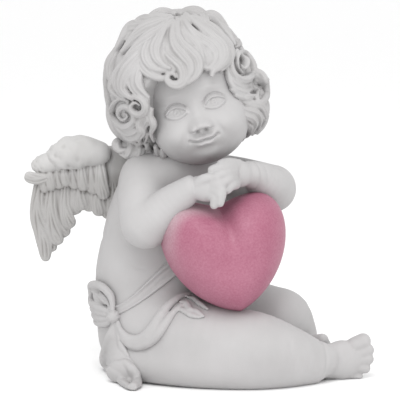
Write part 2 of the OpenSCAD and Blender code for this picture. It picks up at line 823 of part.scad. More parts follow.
module bow_shape() {
    pod(limb([concat(knot_at - upward * knot_d * 0.12, [knot_d * 0.45]),
              concat(knot_at + upward * knot_d * 0.12, [knot_d * 0.45])], 1, 11, [30, 62]));
    for (way = [[-34, 1.2], [-38, -0.5]])
        let (tip = hip_point(way[0], sash_low + sash_w * way[1], knot_d * 0.43),
             side = unit(cross(tip - knot_at, rightward)))
            pod(leaf(knot_at, knot_at + loop_l * unit(tip - knot_at), side, loop_l * 0.55, knot_d * 0.75,
                     sides = 10));
}

module sash_bow() {
    color("whitesmoke")
        difference() {
            bow_shape();
            torso_shape();
            sash_shape();
        }
}

torso();
head();
hair_cap();
hair_fringe();
right_arm();
left_arm();
right_leg();
left_leg();
heart();
right_wing();
left_wing();
waist_sash();
sash_bow();
lap_swag();
hip_drape();
joint_dowels();
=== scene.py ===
import math
import bpy
import numpy as np
import openvdb
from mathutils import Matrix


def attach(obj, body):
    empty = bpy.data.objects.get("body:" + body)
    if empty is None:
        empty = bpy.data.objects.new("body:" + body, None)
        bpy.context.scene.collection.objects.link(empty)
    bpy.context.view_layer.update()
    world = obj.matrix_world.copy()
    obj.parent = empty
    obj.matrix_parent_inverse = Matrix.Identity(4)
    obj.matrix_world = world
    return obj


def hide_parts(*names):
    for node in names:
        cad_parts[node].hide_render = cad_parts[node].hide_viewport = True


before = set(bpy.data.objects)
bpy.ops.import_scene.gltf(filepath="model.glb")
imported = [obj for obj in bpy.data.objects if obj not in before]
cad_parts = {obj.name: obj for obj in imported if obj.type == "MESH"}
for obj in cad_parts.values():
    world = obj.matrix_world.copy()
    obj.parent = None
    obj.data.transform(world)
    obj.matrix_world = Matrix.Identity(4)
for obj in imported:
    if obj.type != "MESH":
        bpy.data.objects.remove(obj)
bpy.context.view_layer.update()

mm = 0.001
rng = np.random.default_rng(11)
cameraSet = {"target": (0.0, 0.0, 56.0), "distance": 700.0, "elevation": 6.0, "pxPerMm": 3.05,
             "picture": 400.0, "sensor": 36.0, "clip": 0.01}

# the cherub's own directions: the chest is turned 40 degrees to the viewer's right
seatAt = np.array([-14.1, 1.2, 0.0])
forward = np.array([0.6428, -0.7660, 0.0])
rightward = np.array([-0.7660, -0.6428, 0.0])
upward = np.array([0.0, 0.0, 1.0])

# the camera's own directions and place
viewLean = math.radians(cameraSet["elevation"])
lookRight = np.array([1.0, 0.0, 0.0])
lookAlong = np.array([0.0, math.cos(viewLean), -math.sin(viewLean)])
lookUp = np.array([0.0, math.sin(viewLean), math.cos(viewLean)])
eyeAt = np.array(cameraSet["target"]) - cameraSet["distance"] * lookAlong
toViewer = np.array([0.0, -1.0, 0.0])
pxAtUnit = cameraSet["pxPerMm"] * cameraSet["distance"]
pxMiddle = cameraSet["picture"] / 2


def seen(px, py, depth):
    # points at a depth along Y that fall on places of the picture: the pinhole view run backwards
    px, py, depth = np.broadcast_arrays(*(np.asarray(v, float) for v in (px, py, depth)))
    tx, ty, tz = cameraSet["target"]
    z = tz + 0.0 * depth
    for _ in range(4):
        away = cameraSet["distance"] + (depth - ty) * math.cos(viewLean) - (z - tz) * math.sin(viewLean)
        scale = away / pxAtUnit
        z = tz + ((pxMiddle - py) * scale - (depth - ty) * math.sin(viewLean)) / math.cos(viewLean)
    return np.stack([tx + (px - pxMiddle) * scale, depth, z], axis=-1)


def seenRows(rows):
    # rows of picture x, picture y and depth, with what follows them, turned into rows in mm
    rows = np.array(rows, float)
    return np.column_stack([seen(*rows[:, :3].T), rows[:, 3:]])


def unit(v):
    # each vector divided by its length
    v = np.asarray(v, float)
    return v / np.maximum(np.linalg.norm(v, axis=-1, keepdims=True), 1e-9)


def smooth(t):
    # smooth rise from 0 to 1: 3t^2 - 2t^3 over the clipped t
    t = np.clip(t, 0.0, 1.0)
    return t * t * (3.0 - 2.0 * t)


def hill(x, wide):
    # bell of height 1: e to the minus square of x over its width
    return np.exp(-((x / wide) ** 2))


def ringAngles(count):
    # even angles round a full turn
    return np.linspace(0.0, 2 * math.pi, count, endpoint=False)


def ballAngles(columns, rows, pole=1.55):
    # turn and height over a ball's grid, stopped just short of the poles
    az = np.linspace(-math.pi, math.pi, columns, endpoint=False)[None, :]
    return az, np.linspace(-pole, pole, rows)[:, None]


def directions(az, el):
    # unit vectors at a turn from the front and a height
    flat = np.cos(el)
    return np.stack([np.sin(az) * flat, -np.cos(az) * flat, np.sin(el) * np.ones_like(az)], axis=-1)


def turnMatrix(lift, tilt, turn):
    # nod about X, then lean about Y, then turn about Z, in degrees
    a, b, c = (math.radians(v) for v in (lift, tilt, turn))
    nod = np.array([[1, 0, 0], [0, math.cos(a), -math.sin(a)], [0, math.sin(a), math.cos(a)]])
    lean = np.array([[math.cos(b), 0, math.sin(b)], [0, 1, 0], [-math.sin(b), 0, math.cos(b)]])
    spin = np.array([[math.cos(c), -math.sin(c), 0], [math.sin(c), math.cos(c), 0], [0, 0, 1]])
    return spin @ lean @ nod


def curveThrough(rows, count):
    # Catmull-Rom curve through whole rows of numbers, sampled at even parameter steps
    rows = np.asarray(rows, float)
    last = len(rows) - 1
    t = np.linspace(0.0, last, count)
    i = np.minimum(t.astype(int), last - 1)
    f = (t - i)[:, None]
    a, b, c, d = rows[np.maximum(i - 1, 0)], rows[i], rows[i + 1], rows[np.minimum(i + 2, last)]
    return 0.5 * (2 * b + (c - a) * f + (2 * a - 5 * b + 4 * c - d) * f**2 + (3 * b - a - 3 * c + d) * f**3)


def pathFrame(path, out):
    # sideways and outward directions square to a path
    along = unit(np.gradient(path, axis=0))
    side = unit(np.cross(along, out))
    return side, np.cross(side, along)


def carried(path, side, out, across, rise):
    # closed shell of a profile carried along a path: so far across and so far out of each point
    return tubeShell(path[:, None] + side[:, None] * across[..., None] + out[:, None] * rise[..., None])


def easedPath(p, out, steps):
    # path and outward directions, with each inner point drawn to the mean of its neighbours
    for _ in range(steps):
        p[1:-1] = 0.5 * p[1:-1] + 0.25 * (p[:-2] + p[2:])
        out[1:-1] = unit(0.5 * out[1:-1] + 0.25 * (out[:-2] + out[2:]))
    return p, out


def gridFaces(rows, cols, wrapRows=False):
    # quads of a grid whose columns, and rows if asked, close on themselves
    r = np.arange(rows if wrapRows else rows - 1)[:, None]
    c = np.arange(cols)[None, :]
    r2, c2 = (r + 1) % rows, (c + 1) % cols
    return np.stack([r * cols + c, r * cols + c2, r2 * cols + c2, r2 * cols + c], axis=-1).reshape(-1, 4)


def tubeShell(points, tintAndPaintedLight=None):
    # closed shell of a grid of rings: the side quads, and a fan to the middle of each end ring
    rows, cols = points.shape[:2]
    verts = np.concatenate([points.reshape(-1, 3), points[0].mean(0)[None], points[-1].mean(0)[None]])
    k = np.arange(cols)
    first = np.stack([(k + 1) % cols, k, np.full(cols, rows * cols)], axis=-1)
    base = (rows - 1) * cols
    last = np.stack([base + k, base + (k + 1) % cols, np.full(cols, rows * cols + 1)], axis=-1)
    shade = np.zeros(len(verts)) if tintAndPaintedLight is None else np.concatenate([tintAndPaintedLight.reshape(-1), [0.0, 0.0]])
    tris = np.concatenate([first, last])
    return {"verts": verts, "quads": gridFaces(rows, cols), "tris": tris, "tintAndPaintedLight": shade}


def hoopShell(points):
    # closed shell of a grid whose rows and columns both meet again
    return {"verts": points.reshape(-1, 3), "quads": gridFaces(*points.shape[:2], wrapRows=True),
            "tris": np.zeros((0, 3), int)}


def blurred(field, steps):
    # repeated 1-2-1 average along the three axes
    for _ in range(steps):
        for k in range(3):
            edge = np.pad(field, [(1, 1) if j == k else (0, 0) for j in range(3)], mode="edge")
            before, after = (np.take(edge, np.arange(field.shape[k]) + shift, k) for shift in (0, 2))
            field = 0.5 * field + 0.25 * (before + after)
    return field


def sampled(field, points):
    # value of a grid between its cells: the eight corners weighed by nearness
    base = np.clip(np.floor(points).astype(int), 0, np.array(field.shape) - 2)
    f = points - base
    total = np.zeros(len(points))
    for corner in np.ndindex(2, 2, 2):
        weight = np.where(np.array(corner) == 1, f, 1.0 - f).prod(axis=1)
        total += weight * field[tuple((base + np.array(corner)).T)]
    return total


def surfaceOf(field, band):
    # zero surface of a level set: points in cells, quads that face outward, and normals from the slope
    grid = openvdb.FloatGrid()
    grid.background = band
    grid.copyFromArray(np.clip(field, -band, band))
    points, quads = grid.convertToQuads(isovalue=0.0)
    points, quads = np.asarray(points, float), np.asarray(quads, int)
    normals = unit(np.stack([sampled(g, points) for g in np.gradient(field)], axis=-1))
    cross = np.cross(points[quads[:, 1]] - points[quads[:, 0]], points[quads[:, 2]] - points[quads[:, 0]])
    if np.median((cross * normals[quads[:, 0]]).sum(-1)) < 0:
        quads = quads[:, ::-1]
    return points, quads, normals


castSet = {"band": 5.0, "margin": 7, "stainSteps": 8}


def castTogether(shells, cell, soften, stain, cfg=castSet):
    # overlapping shells poured into one casting: the surface of their joint level set, softened;
    # its mask is how far the wider average of the level set sinks there, so it marks the hollows
    counts = np.cumsum([0] + [len(s["verts"]) for s in shells])
    verts = np.concatenate([s["verts"] for s in shells]).astype(np.float32)
    quads, tris = (np.concatenate([s[key] + n for s, n in zip(shells, counts)]).astype(np.uint32)
                   for key in ("quads", "tris"))
    grid = openvdb.FloatGrid.createLevelSetFromPolygons(
        verts, triangles=tris, quads=quads, transform=openvdb.createLinearTransform(voxelSize=cell),
        halfWidth=cfg["band"])
    low = np.floor(verts.min(0) / cell).astype(int) - cfg["margin"]
    size = np.ceil(verts.max(0) / cell).astype(int) + cfg["margin"] - low
    field = np.empty(tuple(size), np.float32)
    grid.copyToArray(field, ijk=tuple(int(v) for v in low))
    field = blurred(np.clip(field / cell, -cfg["band"], cfg["band"]), soften)
    points, quads, normals = surfaceOf(field, cfg["band"])
    sink = np.clip(-sampled(blurred(field, cfg["stainSteps"]), points) * stain, 0.0, 1.0)
    return {"verts": (points + low) * cell, "quads": quads, "tris": np.zeros((0, 3), int), "tintAndPaintedLight": sink,
            "normals": normals}


def makePiece(name, shell, node, slot):
    # mesh object from arrays in millimetres, tied to the frame
    quads, tris = np.asarray(shell["quads"], np.int32), np.asarray(shell["tris"], np.int32)
    mesh = bpy.data.meshes.new(name)
    mesh.vertices.add(len(shell["verts"]))
    mesh.vertices.foreach_set("co", (np.asarray(shell["verts"]) * mm).astype(np.float32).ravel())
    loops = np.concatenate([quads.ravel(), tris.ravel()])
    starts = np.concatenate([np.arange(len(quads)) * 4, len(quads) * 4 + np.arange(len(tris)) * 3])
    mesh.loops.add(len(loops))
    mesh.loops.foreach_set("vertex_index", loops.astype(np.int32))
    mesh.polygons.add(len(starts))
    mesh.polygons.foreach_set("loop_start", starts.astype(np.int32))
    mesh.polygons.foreach_set("use_smooth", np.ones(len(starts), bool))
    shade = mesh.attributes.new("tintAndPaintedLight", "FLOAT", "POINT")
    shade.data.foreach_set("value", np.asarray(shell["tintAndPaintedLight"], np.float32))
    mesh.update(calc_edges=True)
    mesh.validate()
    if "normals" in shell:
        mesh.normals_split_custom_set_from_vertices(shell["normals"].tolist())
    mesh.materials.append(slotMaterials[slot])
    obj = bpy.data.objects.new(name, mesh)
    bpy.context.scene.collection.objects.link(obj)
    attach(obj, "root")
    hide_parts(node)
    print("piece", name, len(mesh.polygons), "faces")


def setSockets(node, sockets):
    # a value, or a link from another socket, on each named socket of a shader node
    for key, value in sockets.items():
        if isinstance(value, bpy.types.NodeSocket):
            node.id_data.links.new(value, node.inputs[key])
        else:
            node.inputs[key].default_value = value
    return node


def addNode(mat, kind, sockets, **settings):
    # new shader node with its settings, values and links
    node = mat.node_tree.nodes.new("ShaderNode" + kind)
    for key, value in settings.items():
        setattr(node, key, value)
    return setSockets(node, sockets)


def noiseFac(mat, place, scale, detail=2.0):
    # cloudy noise from 0 to 1 over the object
    return addNode(mat, "TexNoise", {"Vector": place, "Scale": scale, "Detail": detail}).outputs["Fac"]


def worked(mat, operation, *values, **settings):
    # result of a maths node on values or sockets
    return addNode(mat, "Math", dict(enumerate(values)), operation=operation, **settings).outputs["Value"]


def toneRamp(mat, factor, dark, light, places=(0.0, 1.0)):
    # colour between a dark and a light tone
    ramp = addNode(mat, "ValToRGB", {"Fac": factor})
    for stop, place, colour in zip(ramp.color_ramp.elements, places, (dark, light)):
        stop.position = place
        stop.color = (*colour, 1.0)
    return ramp.outputs["Color"]


def mixed(mat, factor, base, colour):
    # base colour that gives way to another one by a factor
    sockets = {"Factor": factor, "A": base, "B": (*colour, 1.0)}
    return addNode(mat, "Mix", sockets, data_type="RGBA").outputs["Result"]


def newMaterial(name):
    # new material, its shader and the place on the object
    mat = bpy.data.materials.new(name)
    mat.use_nodes = True
    place = addNode(mat, "TexCoord", {}).outputs["Object"]
    return mat, mat.node_tree.nodes["Principled BSDF"], place


def tintAndPaintedLightFac(mat):
    # the mask that each point of the mesh carries: patina in hollows, darkening low on the wing,
    # painted shade at the wing's root, and bare resin with a painted highlight on the heart
    return addNode(mat, "Attribute", {}, attribute_name="tintAndPaintedLight").outputs["Fac"]


def finish(mat, shader, colour, relief, cfg):
    # colour, gloss and fine relief of a cast or painted surface
    bump = addNode(mat, "Bump", {"Strength": cfg["bump"], "Distance": cfg["bumpDeep"], "Height": relief})
    setSockets(shader, {"Base Color": colour, "Roughness": cfg["roughness"],
                        "Specular IOR Level": cfg["gloss"], "Normal": bump.outputs["Normal"]})


resinLook = {"coat": (0.435, 0.427, 0.428), "shade": (0.395, 0.387, 0.387), "patinaAndShade": (0.19, 0.176, 0.165),
             "cloudScale": 70.0, "cloudRange": (0.3, 0.7), "pitScale": 260.0, "pitEdge": (0.03, 0.075),
             "grainScale": 1500.0, "grain": 0.5, "bump": 0.35, "bumpDeep": 0.00012,
             "roughness": 0.62, "gloss": 0.32}
hairLook = dict(resinLook, coat=(0.425, 0.418, 0.418), shade=(0.365, 0.357, 0.355),
                patinaAndShade=(0.165, 0.15, 0.137))
# the wing resin is a lighter copy of the body resin: painted light, so that the rolled top edge reads lit;
# its darker patina colour is also the colour of the painted shade near the wing's root
wingLitLook = dict(resinLook, coat=(0.49, 0.484, 0.48), shade=(0.45, 0.443, 0.437), patinaAndShade=(0.12, 0.11, 0.10))


def resinMaterial(name, cfg):
    # cast stone-filled resin: a pale coat with soft cloudy tone, darker with patina in hollows
    # and with painted shade near the wing's root, with grain and pinholes
    mat, shader, place = newMaterial(name)
    cloud = noiseFac(mat, place, cfg["cloudScale"], 5.0)
    tone = toneRamp(mat, cloud, cfg["shade"], cfg["coat"], cfg["cloudRange"])
    pits = addNode(mat, "TexVoronoi", {"Vector": place, "Scale": cfg["pitScale"]})
    pitEdge = addNode(mat, "MapRange", {"Value": pits.outputs["Distance"], "From Min": cfg["pitEdge"][0],
                                        "From Max": cfg["pitEdge"][1]})
    grain = noiseFac(mat, place, cfg["grainScale"], 3.0)
    relief = worked(mat, "MULTIPLY_ADD", grain, cfg["grain"], pitEdge.outputs["Result"])
    # the mask mixes in patina in the hollows and, on the wing, painted shade near the root
    finish(mat, shader, mixed(mat, tintAndPaintedLightFac(mat), tone, cfg["patinaAndShade"]), relief, cfg)
    return mat


# bare: the resin showing through thin paint; the same colour is the painted highlight on the upper-left lobe
heartLook = {"deep": (0.295, 0.088, 0.143), "pale": (0.375, 0.15, 0.21), "bare": (0.47, 0.38, 0.40),
             "speckScale": 1700.0, "speckShare": 0.55, "cloudScale": 90.0, "cloudShare": 0.45,
             "paintRange": (0.33, 0.67), "ragged": 0.9, "bump": 0.3, "bumpDeep": 0.0001,
             "roughness": 0.5, "gloss": 0.4}


def heartMaterial(name, cfg):
    # pink airbrushed over resin: speckled paint, thin and ragged where the mask bares the resin on the back
    # and paints a highlight near the rim of the upper-left lobe
    mat, shader, place = newMaterial(name)
    speck = noiseFac(mat, place, cfg["speckScale"])
    cloud = worked(mat, "MULTIPLY", noiseFac(mat, place, cfg["cloudScale"], 4.0), cfg["cloudShare"])
    blotch = worked(mat, "MULTIPLY_ADD", speck, cfg["speckShare"], cloud)
    paint = toneRamp(mat, blotch, cfg["deep"], cfg["pale"], cfg["paintRange"])
    # thin: the mask of bare resin on the back and of the painted highlight near the rim of the upper-left
    # lobe
    thin = tintAndPaintedLightFac(mat)
    ragged = worked(mat, "MULTIPLY_ADD", speck, cfg["ragged"], -cfg["ragged"] / 2)
    cover = worked(mat, "ADD", thin, worked(mat, "MULTIPLY", ragged, thin), use_clamp=True)
    finish(mat, shader, mixed(mat, cover, paint, cfg["bare"]), speck, cfg)
    return mat


steelLook = {"dark": (0.36, 0.36, 0.37), "light": (0.58, 0.58, 0.6), "grainScale": 900.0, "roughness": 0.35}


def toneMaterial(name, cfg, metallic=0.0):
    # plain surface with a cloudy tone: ground steel or floor
    mat, shader, place = newMaterial(name)
    tone = toneRamp(mat, noiseFac(mat, place, cfg["grainScale"]), cfg["dark"], cfg["light"])
    setSockets(shader, {"Base Color": tone, "Metallic": metallic, "Roughness": cfg["roughness"]})
    return mat


slotMaterials = {"body_resin": resinMaterial("body resin", resinLook),
                 "hair_resin": resinMaterial("hair resin", hairLook),
                 "wing_resin": resinMaterial("wing resin", wingLitLook),
                 "cloth_resin": resinMaterial("cloth resin", resinLook),
                 "heart_paint": heartMaterial("heart paint", heartLook)}
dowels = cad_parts["joint_dowels"]
dowels.data.materials.clear()
dowels.data.materials.append(toneMaterial("dowel steel", steelLook, metallic=1.0))
print("materials ready")


# flesh: one distance field on a grid, worked in sub-boxes, so that the limbs melt into the trunk
fleshGrid = {"low": (-39.0, -43.0, -0.6), "high": (60.0, 23.0, 80.0), "step": 0.5,
             "far": 9.0, "band": 3.0, "pad": 4.0}
gridLow = np.array(fleshGrid["low"])
gridAxes = [np.arange(a, b, fleshGrid["step"]) for a, b in zip(fleshGrid["low"], fleshGrid["high"])]
gridShape = tuple(len(a) for a in gridAxes)


def fieldBox(low, high, pad):
    # slices and open coordinate arrays of the part of the grid that holds a box
    cuts, axes = [], []
    for k in range(3):
        a = max(int(np.searchsorted(gridAxes[k], low[k] - pad)) - 1, 0)
        b = min(int(np.searchsorted(gridAxes[k], high[k] + pad)) + 1, len(gridAxes[k]))
        cuts.append(slice(a, b))
        axes.append(gridAxes[k][a:b].reshape([-1 if j == k else 1 for j in range(3)]))
    return tuple(cuts), axes


def dotOpen(xyz, at, way):
    # distance from a place along a direction, over open coordinate arrays
    return sum((c - p) * w for c, p, w in zip(xyz, at, way))


def softMin(a, b, k):
    # smaller of two distances, rounded over a blend of k
    h = np.maximum(k - np.abs(a - b), 0.0) / k
    return np.minimum(a, b) - h * h * k * 0.25


def addRound(field, rows, k, count=None):
    # limb: balls of growing or shrinking radius drawn along a curve, joined to the field over a blend of k
    path = np.asarray(rows, float) if count is None else curveThrough(rows, count)
    low, high = (path[:, :3] - path[:, 3:]).min(0), (path[:, :3] + path[:, 3:]).max(0)
    cut, xyz = fieldBox(low, high, fleshGrid["pad"])
    best = np.full(field[cut].shape, fleshGrid["far"], np.float32)
    for a, b in zip(path[:-1], path[1:]):
        ab = b[:3] - a[:3]
        t = np.clip(dotOpen(xyz, a, ab) / max(float(ab @ ab), 1e-6), 0.0, 1.0)
        d = np.sqrt(sum((c - p - t * w) ** 2 for c, p, w in zip(xyz, a, ab)))
        np.minimum(best, (d - a[3] - t * (b[3] - a[3])).astype(np.float32), out=best)
    field[cut] = softMin(field[cut], best, k)


def addEgg(field, at, lie, radii, k):
    # egg: distance to an ellipsoid by its scaled radius, joined over a blend of k;
    # lie is its long way and a side
    at, radii = np.asarray(at, float), np.asarray(radii, float)
    along = unit(lie[0])
    third = unit(np.cross(along, lie[1]))
    cut, xyz = fieldBox(at - radii.max(), at + radii.max(), fleshGrid["pad"])
    q = [dotOpen(xyz, at, way) for way in (along, np.cross(third, along), third)]
    k0 = np.sqrt(sum((v / r) ** 2 for v, r in zip(q, radii)))
    k1 = np.sqrt(sum((v / r**2) ** 2 for v, r in zip(q, radii)))
    field[cut] = softMin(field[cut], (k0 * (k0 - 1.0) / np.maximum(k1, 1e-4)).astype(np.float32), k)


def addCrease(field, at, normal, deep, wide, reach):
    # crease: the skin is pushed in along a plane through a point, fading out at the reach
    at, normal = np.asarray(at, float), unit(normal)
    cut, xyz = fieldBox(at - reach, at + reach, 0.0)
    far = np.sqrt(sum((c - p) ** 2 for c, p in zip(xyz, at)))
    push = deep * hill(dotOpen(xyz, at, normal), wide) * smooth((reach - far) / (reach * 0.3))
    field[cut] += push.astype(np.float32)


def limbField(cfg):
    # limb: balls along its bones, creases, the eggs of palm, heel or foot, then fingers or toes
    field = np.full(gridShape, fleshGrid["far"], np.float32)
    for bone in cfg["bones"]:
        addRound(field, *bone)
    for crease in cfg["creases"]:
        addCrease(field, *crease)
    for at, radii in cfg["eggs"]:
        addEgg(field, at, cfg["lie"], radii, cfg["eggBlend"])
    for digit in cfg["digits"]:
        addRound(field, *digit)
    return field


digitBlend = {"finger": 0.35, "thumb": 0.4, "rightToe": 0.55, "leftToe": 0.5}
digitSteps = 6


def fingers(roots, tips, bend, knuckle, radii):
    # four fingers, each bent at a share of its length by a push off the straight line
    ends = zip(seenRows(roots), seenRows(tips))
    shafts = [(a, a + (c - a) * bend + np.array(knuckle), c) for a, c in ends]
    return [(np.column_stack([shaft, radii]), digitBlend["finger"], digitSteps) for shaft in shafts]


# trunk rows: forward, height, half width and half depth
torsoRows = [(0, 0, 15.0, 14.6), (0, 4, 17.6, 16.8), (0, 10, 19.8, 18.6), (1, 20, 21.2, 19.5),
             (1.5, 33, 21.8, 19.8), (3, 44.5, 20.8, 18.2), (6, 56, 20.0, 16.6), (10, 65, 18.6, 14.6),
             (13, 71.5, 13.0, 11.2), (15, 75, 8.5, 8.5), (16, 80, 8.0, 8.0)]
torsoTable = curveThrough(torsoRows, 160)
torsoCreases = [(seen(144, 268, -14.0), (0.25, 0.1, 1.0), 0.55, 0.7, 7.0),
                (seatAt - 14.0 * forward + 14.0 * rightward + 44.0 * upward,
                 (0.15, 0.1, 1.0), 0.5, 0.9, 10.0)]
# bones and digits: rows of a place and a radius, the blend with what is there, and the steps along the curve;
# creases: place, normal, depth, width and reach; eggs: place and radii
hard = 0.01
rightArm = {
    "bones": [(seenRows([(146, 178, -15.0, 8.3), (143, 197, -22.0, 8.2), (145, 222, -28.5, 7.7)]), hard, 10),
              (seenRows([(146, 225, -29.0, 7.6), (157, 216, -31.0, 6.7), (172, 202, -33.0, 5.4),
                         (191, 189, -35.6, 4.3)]), 1.0, 12)],
    "creases": [(seen(195, 190, -36.8), (1.0, -0.1, 0.15), 0.5, 0.5, 7.0)],
    "lie": ((0.75, -0.3, -0.25), (0.0, 0.3, 1.0)), "eggBlend": 0.9,
    "eggs": [(seen(206, 188, -37.2), (4.6, 4.3, 3.2))],
    "digits": fingers([(211, 181, -38.0), (214, 186, -39.2), (214, 191, -39.8), (211, 196, -39.4)],
                      [(220, 189, -40.0), (222, 196, -41.2), (220, 203, -41.8), (214, 205, -41.2)],
                      0.45, (1.0, -0.7, 0.5), (1.75, 1.7, 1.35))
    + [(seenRows([(199, 183, -38.0, 1.9), (205, 179, -39.0, 1.75), (211, 178, -39.2, 1.4)]),
        digitBlend["thumb"], digitSteps)]}
leftWrist = seen(252, 174, -25.0)
leftArm = {
    "bones": [([(2.6, 2.0, 63.2, 8.2), (12.6, -1.6, 62.2, 8.0), (*seen(272, 188, -9.0), 7.5)], hard, 10),
              (seenRows([(273, 189, -10.5, 7.3), (267, 184, -17.0, 6.5), (257, 177, -22.5, 5.0),
                         (250, 174, -26.0, 4.2)]), 1.0, 12)],
    "creases": [(leftWrist, (0.75, 0.65, 0.05), 0.5, 0.5, 7.0),
                (leftWrist + np.array([2.2, 2.2, -0.1]), (0.75, 0.65, 0.05), 0.3, 0.45, 7.5)],
    "lie": ((-0.75, -0.6, 0.0), (0.0, 0.1, 1.0)), "eggBlend": 0.9,
    "eggs": [(seen(240, 174, -30.0), (4.4, 4.2, 3.5))],
    "digits": fingers([(234, 168, -33.0), (233, 173, -34.4), (233, 179, -34.6), (235, 184, -34.0)],
                      [(212, 170, -38.0), (216, 177, -39.6), (222, 184, -39.4), (227, 190, -38.4)],
                      0.5, (0.0, -1.0, 0.7), (1.85, 1.8, 1.4))
    + [(seenRows([(238, 165, -31.0, 1.9), (229, 163, -34.0, 1.75), (221, 164, -36.2, 1.4)]),
        digitBlend["thumb"], digitSteps)]}
rightToes = [(354, 345, 363, 341, 2.5), (359, 353, 368, 350, 1.95), (359, 360, 368, 359, 1.85),
             (356, 367, 365, 368, 1.75), (351, 374, 358, 377, 1.6)]  # places of root and tip, radius
rightLeg = {
    "bones": [([(-14.1, -11.8, 15.0, 14.6), (-3.0, -22.0, 13.6, 13.6), (8.0, -28.0, 12.4, 12.6),
                (17.5, -30.2, 11.6, 11.9), (27.0, -27.6, 9.6, 9.4), (34.0, -23.6, 7.8, 7.0),
                (39.5, -20.8, 6.7, 5.2)], hard, 26),
              ([(-22.0, -21.0, 5.4, 5.2), (-11.0, -28.5, 5.5, 5.3), (1.0, -33.0, 5.6, 5.4),
                (14.0, -33.5, 5.4, 5.2), (26.0, -30.5, 4.6, 4.4), (35.0, -25.0, 3.9, 3.7)], 5.0, 20)],
    "creases": [((37.0, -21.4, 6.8), (0.9, 0.45, -0.12), 0.6, 0.6, 8.0),
                ((24.0, -29.0, 10.0), (0.8, 0.5, 0.25), 0.35, 1.2, 12.0)],
    "lie": ((0.94, 0.2, 0.02), (0.0, 0.05, 1.0)), "eggBlend": 1.4,
    "eggs": [((40.6, -18.6, 5.3), (5.0, 5.2, 4.2)), (seen(342, 360, -18.0), (7.0, 6.4, 3.9))],
    "digits": [(seenRows([(x0, y0, -17.5, r), (x1, y1, -17.0, r * 1.02)]), digitBlend["rightToe"])
               for x0, y0, x1, y1, r in rightToes]}
leftToe = {"first": (38.6, -8.4, 8.2), "across": (-0.9, -0.5, 1.5), "start": 1.6, "step": 1.05, "long": 3.2,
           "radii": (2.2, 2.1), "thinner": 0.17}


def leftToes(along, cfg):
    # five toes in a row across the foot, each thinner than the one before
    for k in range(5):
        a = np.array(cfg["first"]) + np.array(cfg["across"]) * (cfg["start"] - k * cfg["step"])
        ends = np.array([a, a + unit(along) * cfg["long"]])
        yield np.column_stack([ends, np.array(cfg["radii"]) - cfg["thinner"] * k]), digitBlend["leftToe"]


leftLie = ((0.78, -0.55, 0.25), (-0.5, -0.4, 0.7))
leftLeg = {
    "bones": [([(-2.6, 6.9, 16.0, 14.5), (11.0, 2.8, 17.0, 13.4), (21.4, -1.8, 16.6, 11.6),
                (25.0, -3.0, 16.2, 11.2)], hard, 14),
              ([(26.6, -2.8, 15.6, 10.6), (30.0, -1.6, 11.0, 8.6), (33.0, -3.2, 5.6, 5.6)], 1.6, 10)],
    "creases": [], "lie": leftLie, "eggs": [((36.0, -5.5, 6.6), (6.4, 5.6, 3.6))], "eggBlend": 1.2,
    "digits": leftToes(leftLie[0], leftToe)}
fleshBlend = {"hands": 0.5, "legs": 1.0, "hips": 4.5, "shoulders": 3.2, "sole": 0.05, "lid": 0.3}
fleshCastings = {"trunkCasting": "torso", "rightArmCasting": "right_arm", "leftArmCasting": "left_arm",
                 "rightLegCasting": "right_leg", "leftLegCasting": "left_leg"}


def torsoField():
    # trunk: scaled radius in an ellipse whose middle and half widths follow the height
    at, wide, deep = (np.interp(gridAxes[2], torsoTable[:, 1], torsoTable[:, k]) for k in (0, 2, 3))
    x, y = gridAxes[0][:, None, None] - seatAt[0], gridAxes[1][None, :, None] - seatAt[1]
    s = x * rightward[0] + y * rightward[1]
    f = x * forward[0] + y * forward[1] - at
    rho = np.sqrt((s / wide) ** 2 + (f / deep) ** 2)
    field = ((rho - 1.0) * np.minimum(wide, deep)).astype(np.float32)
    for crease in torsoCreases:
        addCrease(field, *crease)
    return field


def cutOut(verts, normals, quads):
    # one casting: its quads, and a fan to the middle of every open edge loop, closed inside the joint
    used, quads = np.unique(quads, return_inverse=True)
    quads = quads.reshape(-1, 4)
    edges = np.stack([quads, np.roll(quads, -1, axis=1)], axis=-1).reshape(-1, 2)
    key = np.sort(edges, axis=1)
    _, back, count = np.unique(key[:, 0] * len(used) + key[:, 1], return_inverse=True, return_counts=True)
    rim = edges[count[back] == 1]
    group, before = np.arange(len(used)), None
    while not np.array_equal(before, group):
        before = group.copy()
        low = np.minimum(group[rim[:, 0]], group[rim[:, 1]])
        np.minimum.at(group, rim[:, 0], low)
        np.minimum.at(group, rim[:, 1], low)
    loops, which = np.unique(group[rim[:, 0]], return_inverse=True)
    rimAt = verts[used][rim[:, 0]]
    middle = np.stack([np.bincount(which, v) for v in rimAt.T], axis=-1) / np.bincount(which)[:, None]
    tris = np.stack([rim[:, 1], rim[:, 0], len(used) + which], axis=-1)
    bend = np.concatenate([normals[used], np.tile(upward, (len(loops), 1))])
    return {"verts": np.concatenate([verts[used], middle]), "quads": quads, "tris": tris,
            "tintAndPaintedLight": np.zeros(len(used) + len(loops)), "normals": bend}


def buildFlesh(cfg, castings):
    # the surface of the joined fields, cut into the separate castings by which field is nearest
    parts = [torsoField()] + [limbField(limb) for limb in (rightArm, leftArm, rightLeg, leftLeg)]
    hands = softMin(parts[1], parts[2], cfg["hands"])
    legs = softMin(parts[3], parts[4], cfg["legs"])
    total = softMin(softMin(parts[0], legs, cfg["hips"]), hands, cfg["shoulders"])
    total = np.maximum(total, (cfg["sole"] - gridAxes[2]).astype(np.float32))
    total[:, :, -1] = np.maximum(total[:, :, -1], cfg["lid"])
    points, quads, normals = surfaceOf(total, fleshGrid["band"])
    verts = points * fleshGrid["step"] + gridLow
    mids = np.clip(np.rint(points[quads].mean(1)).astype(int), 0, np.array(gridShape) - 1)
    nearest = np.argmin(np.stack([p[tuple(mids.T)] for p in parts], axis=-1), axis=-1)
    for k, (name, node) in enumerate(castings.items()):
        makePiece(name, cutOut(verts, normals, quads[nearest == k]), node, "body_resin")
    return total


fleshField = buildFlesh(fleshBlend, fleshCastings)
fleshSlope = np.stack(np.gradient(fleshField), axis=-1)


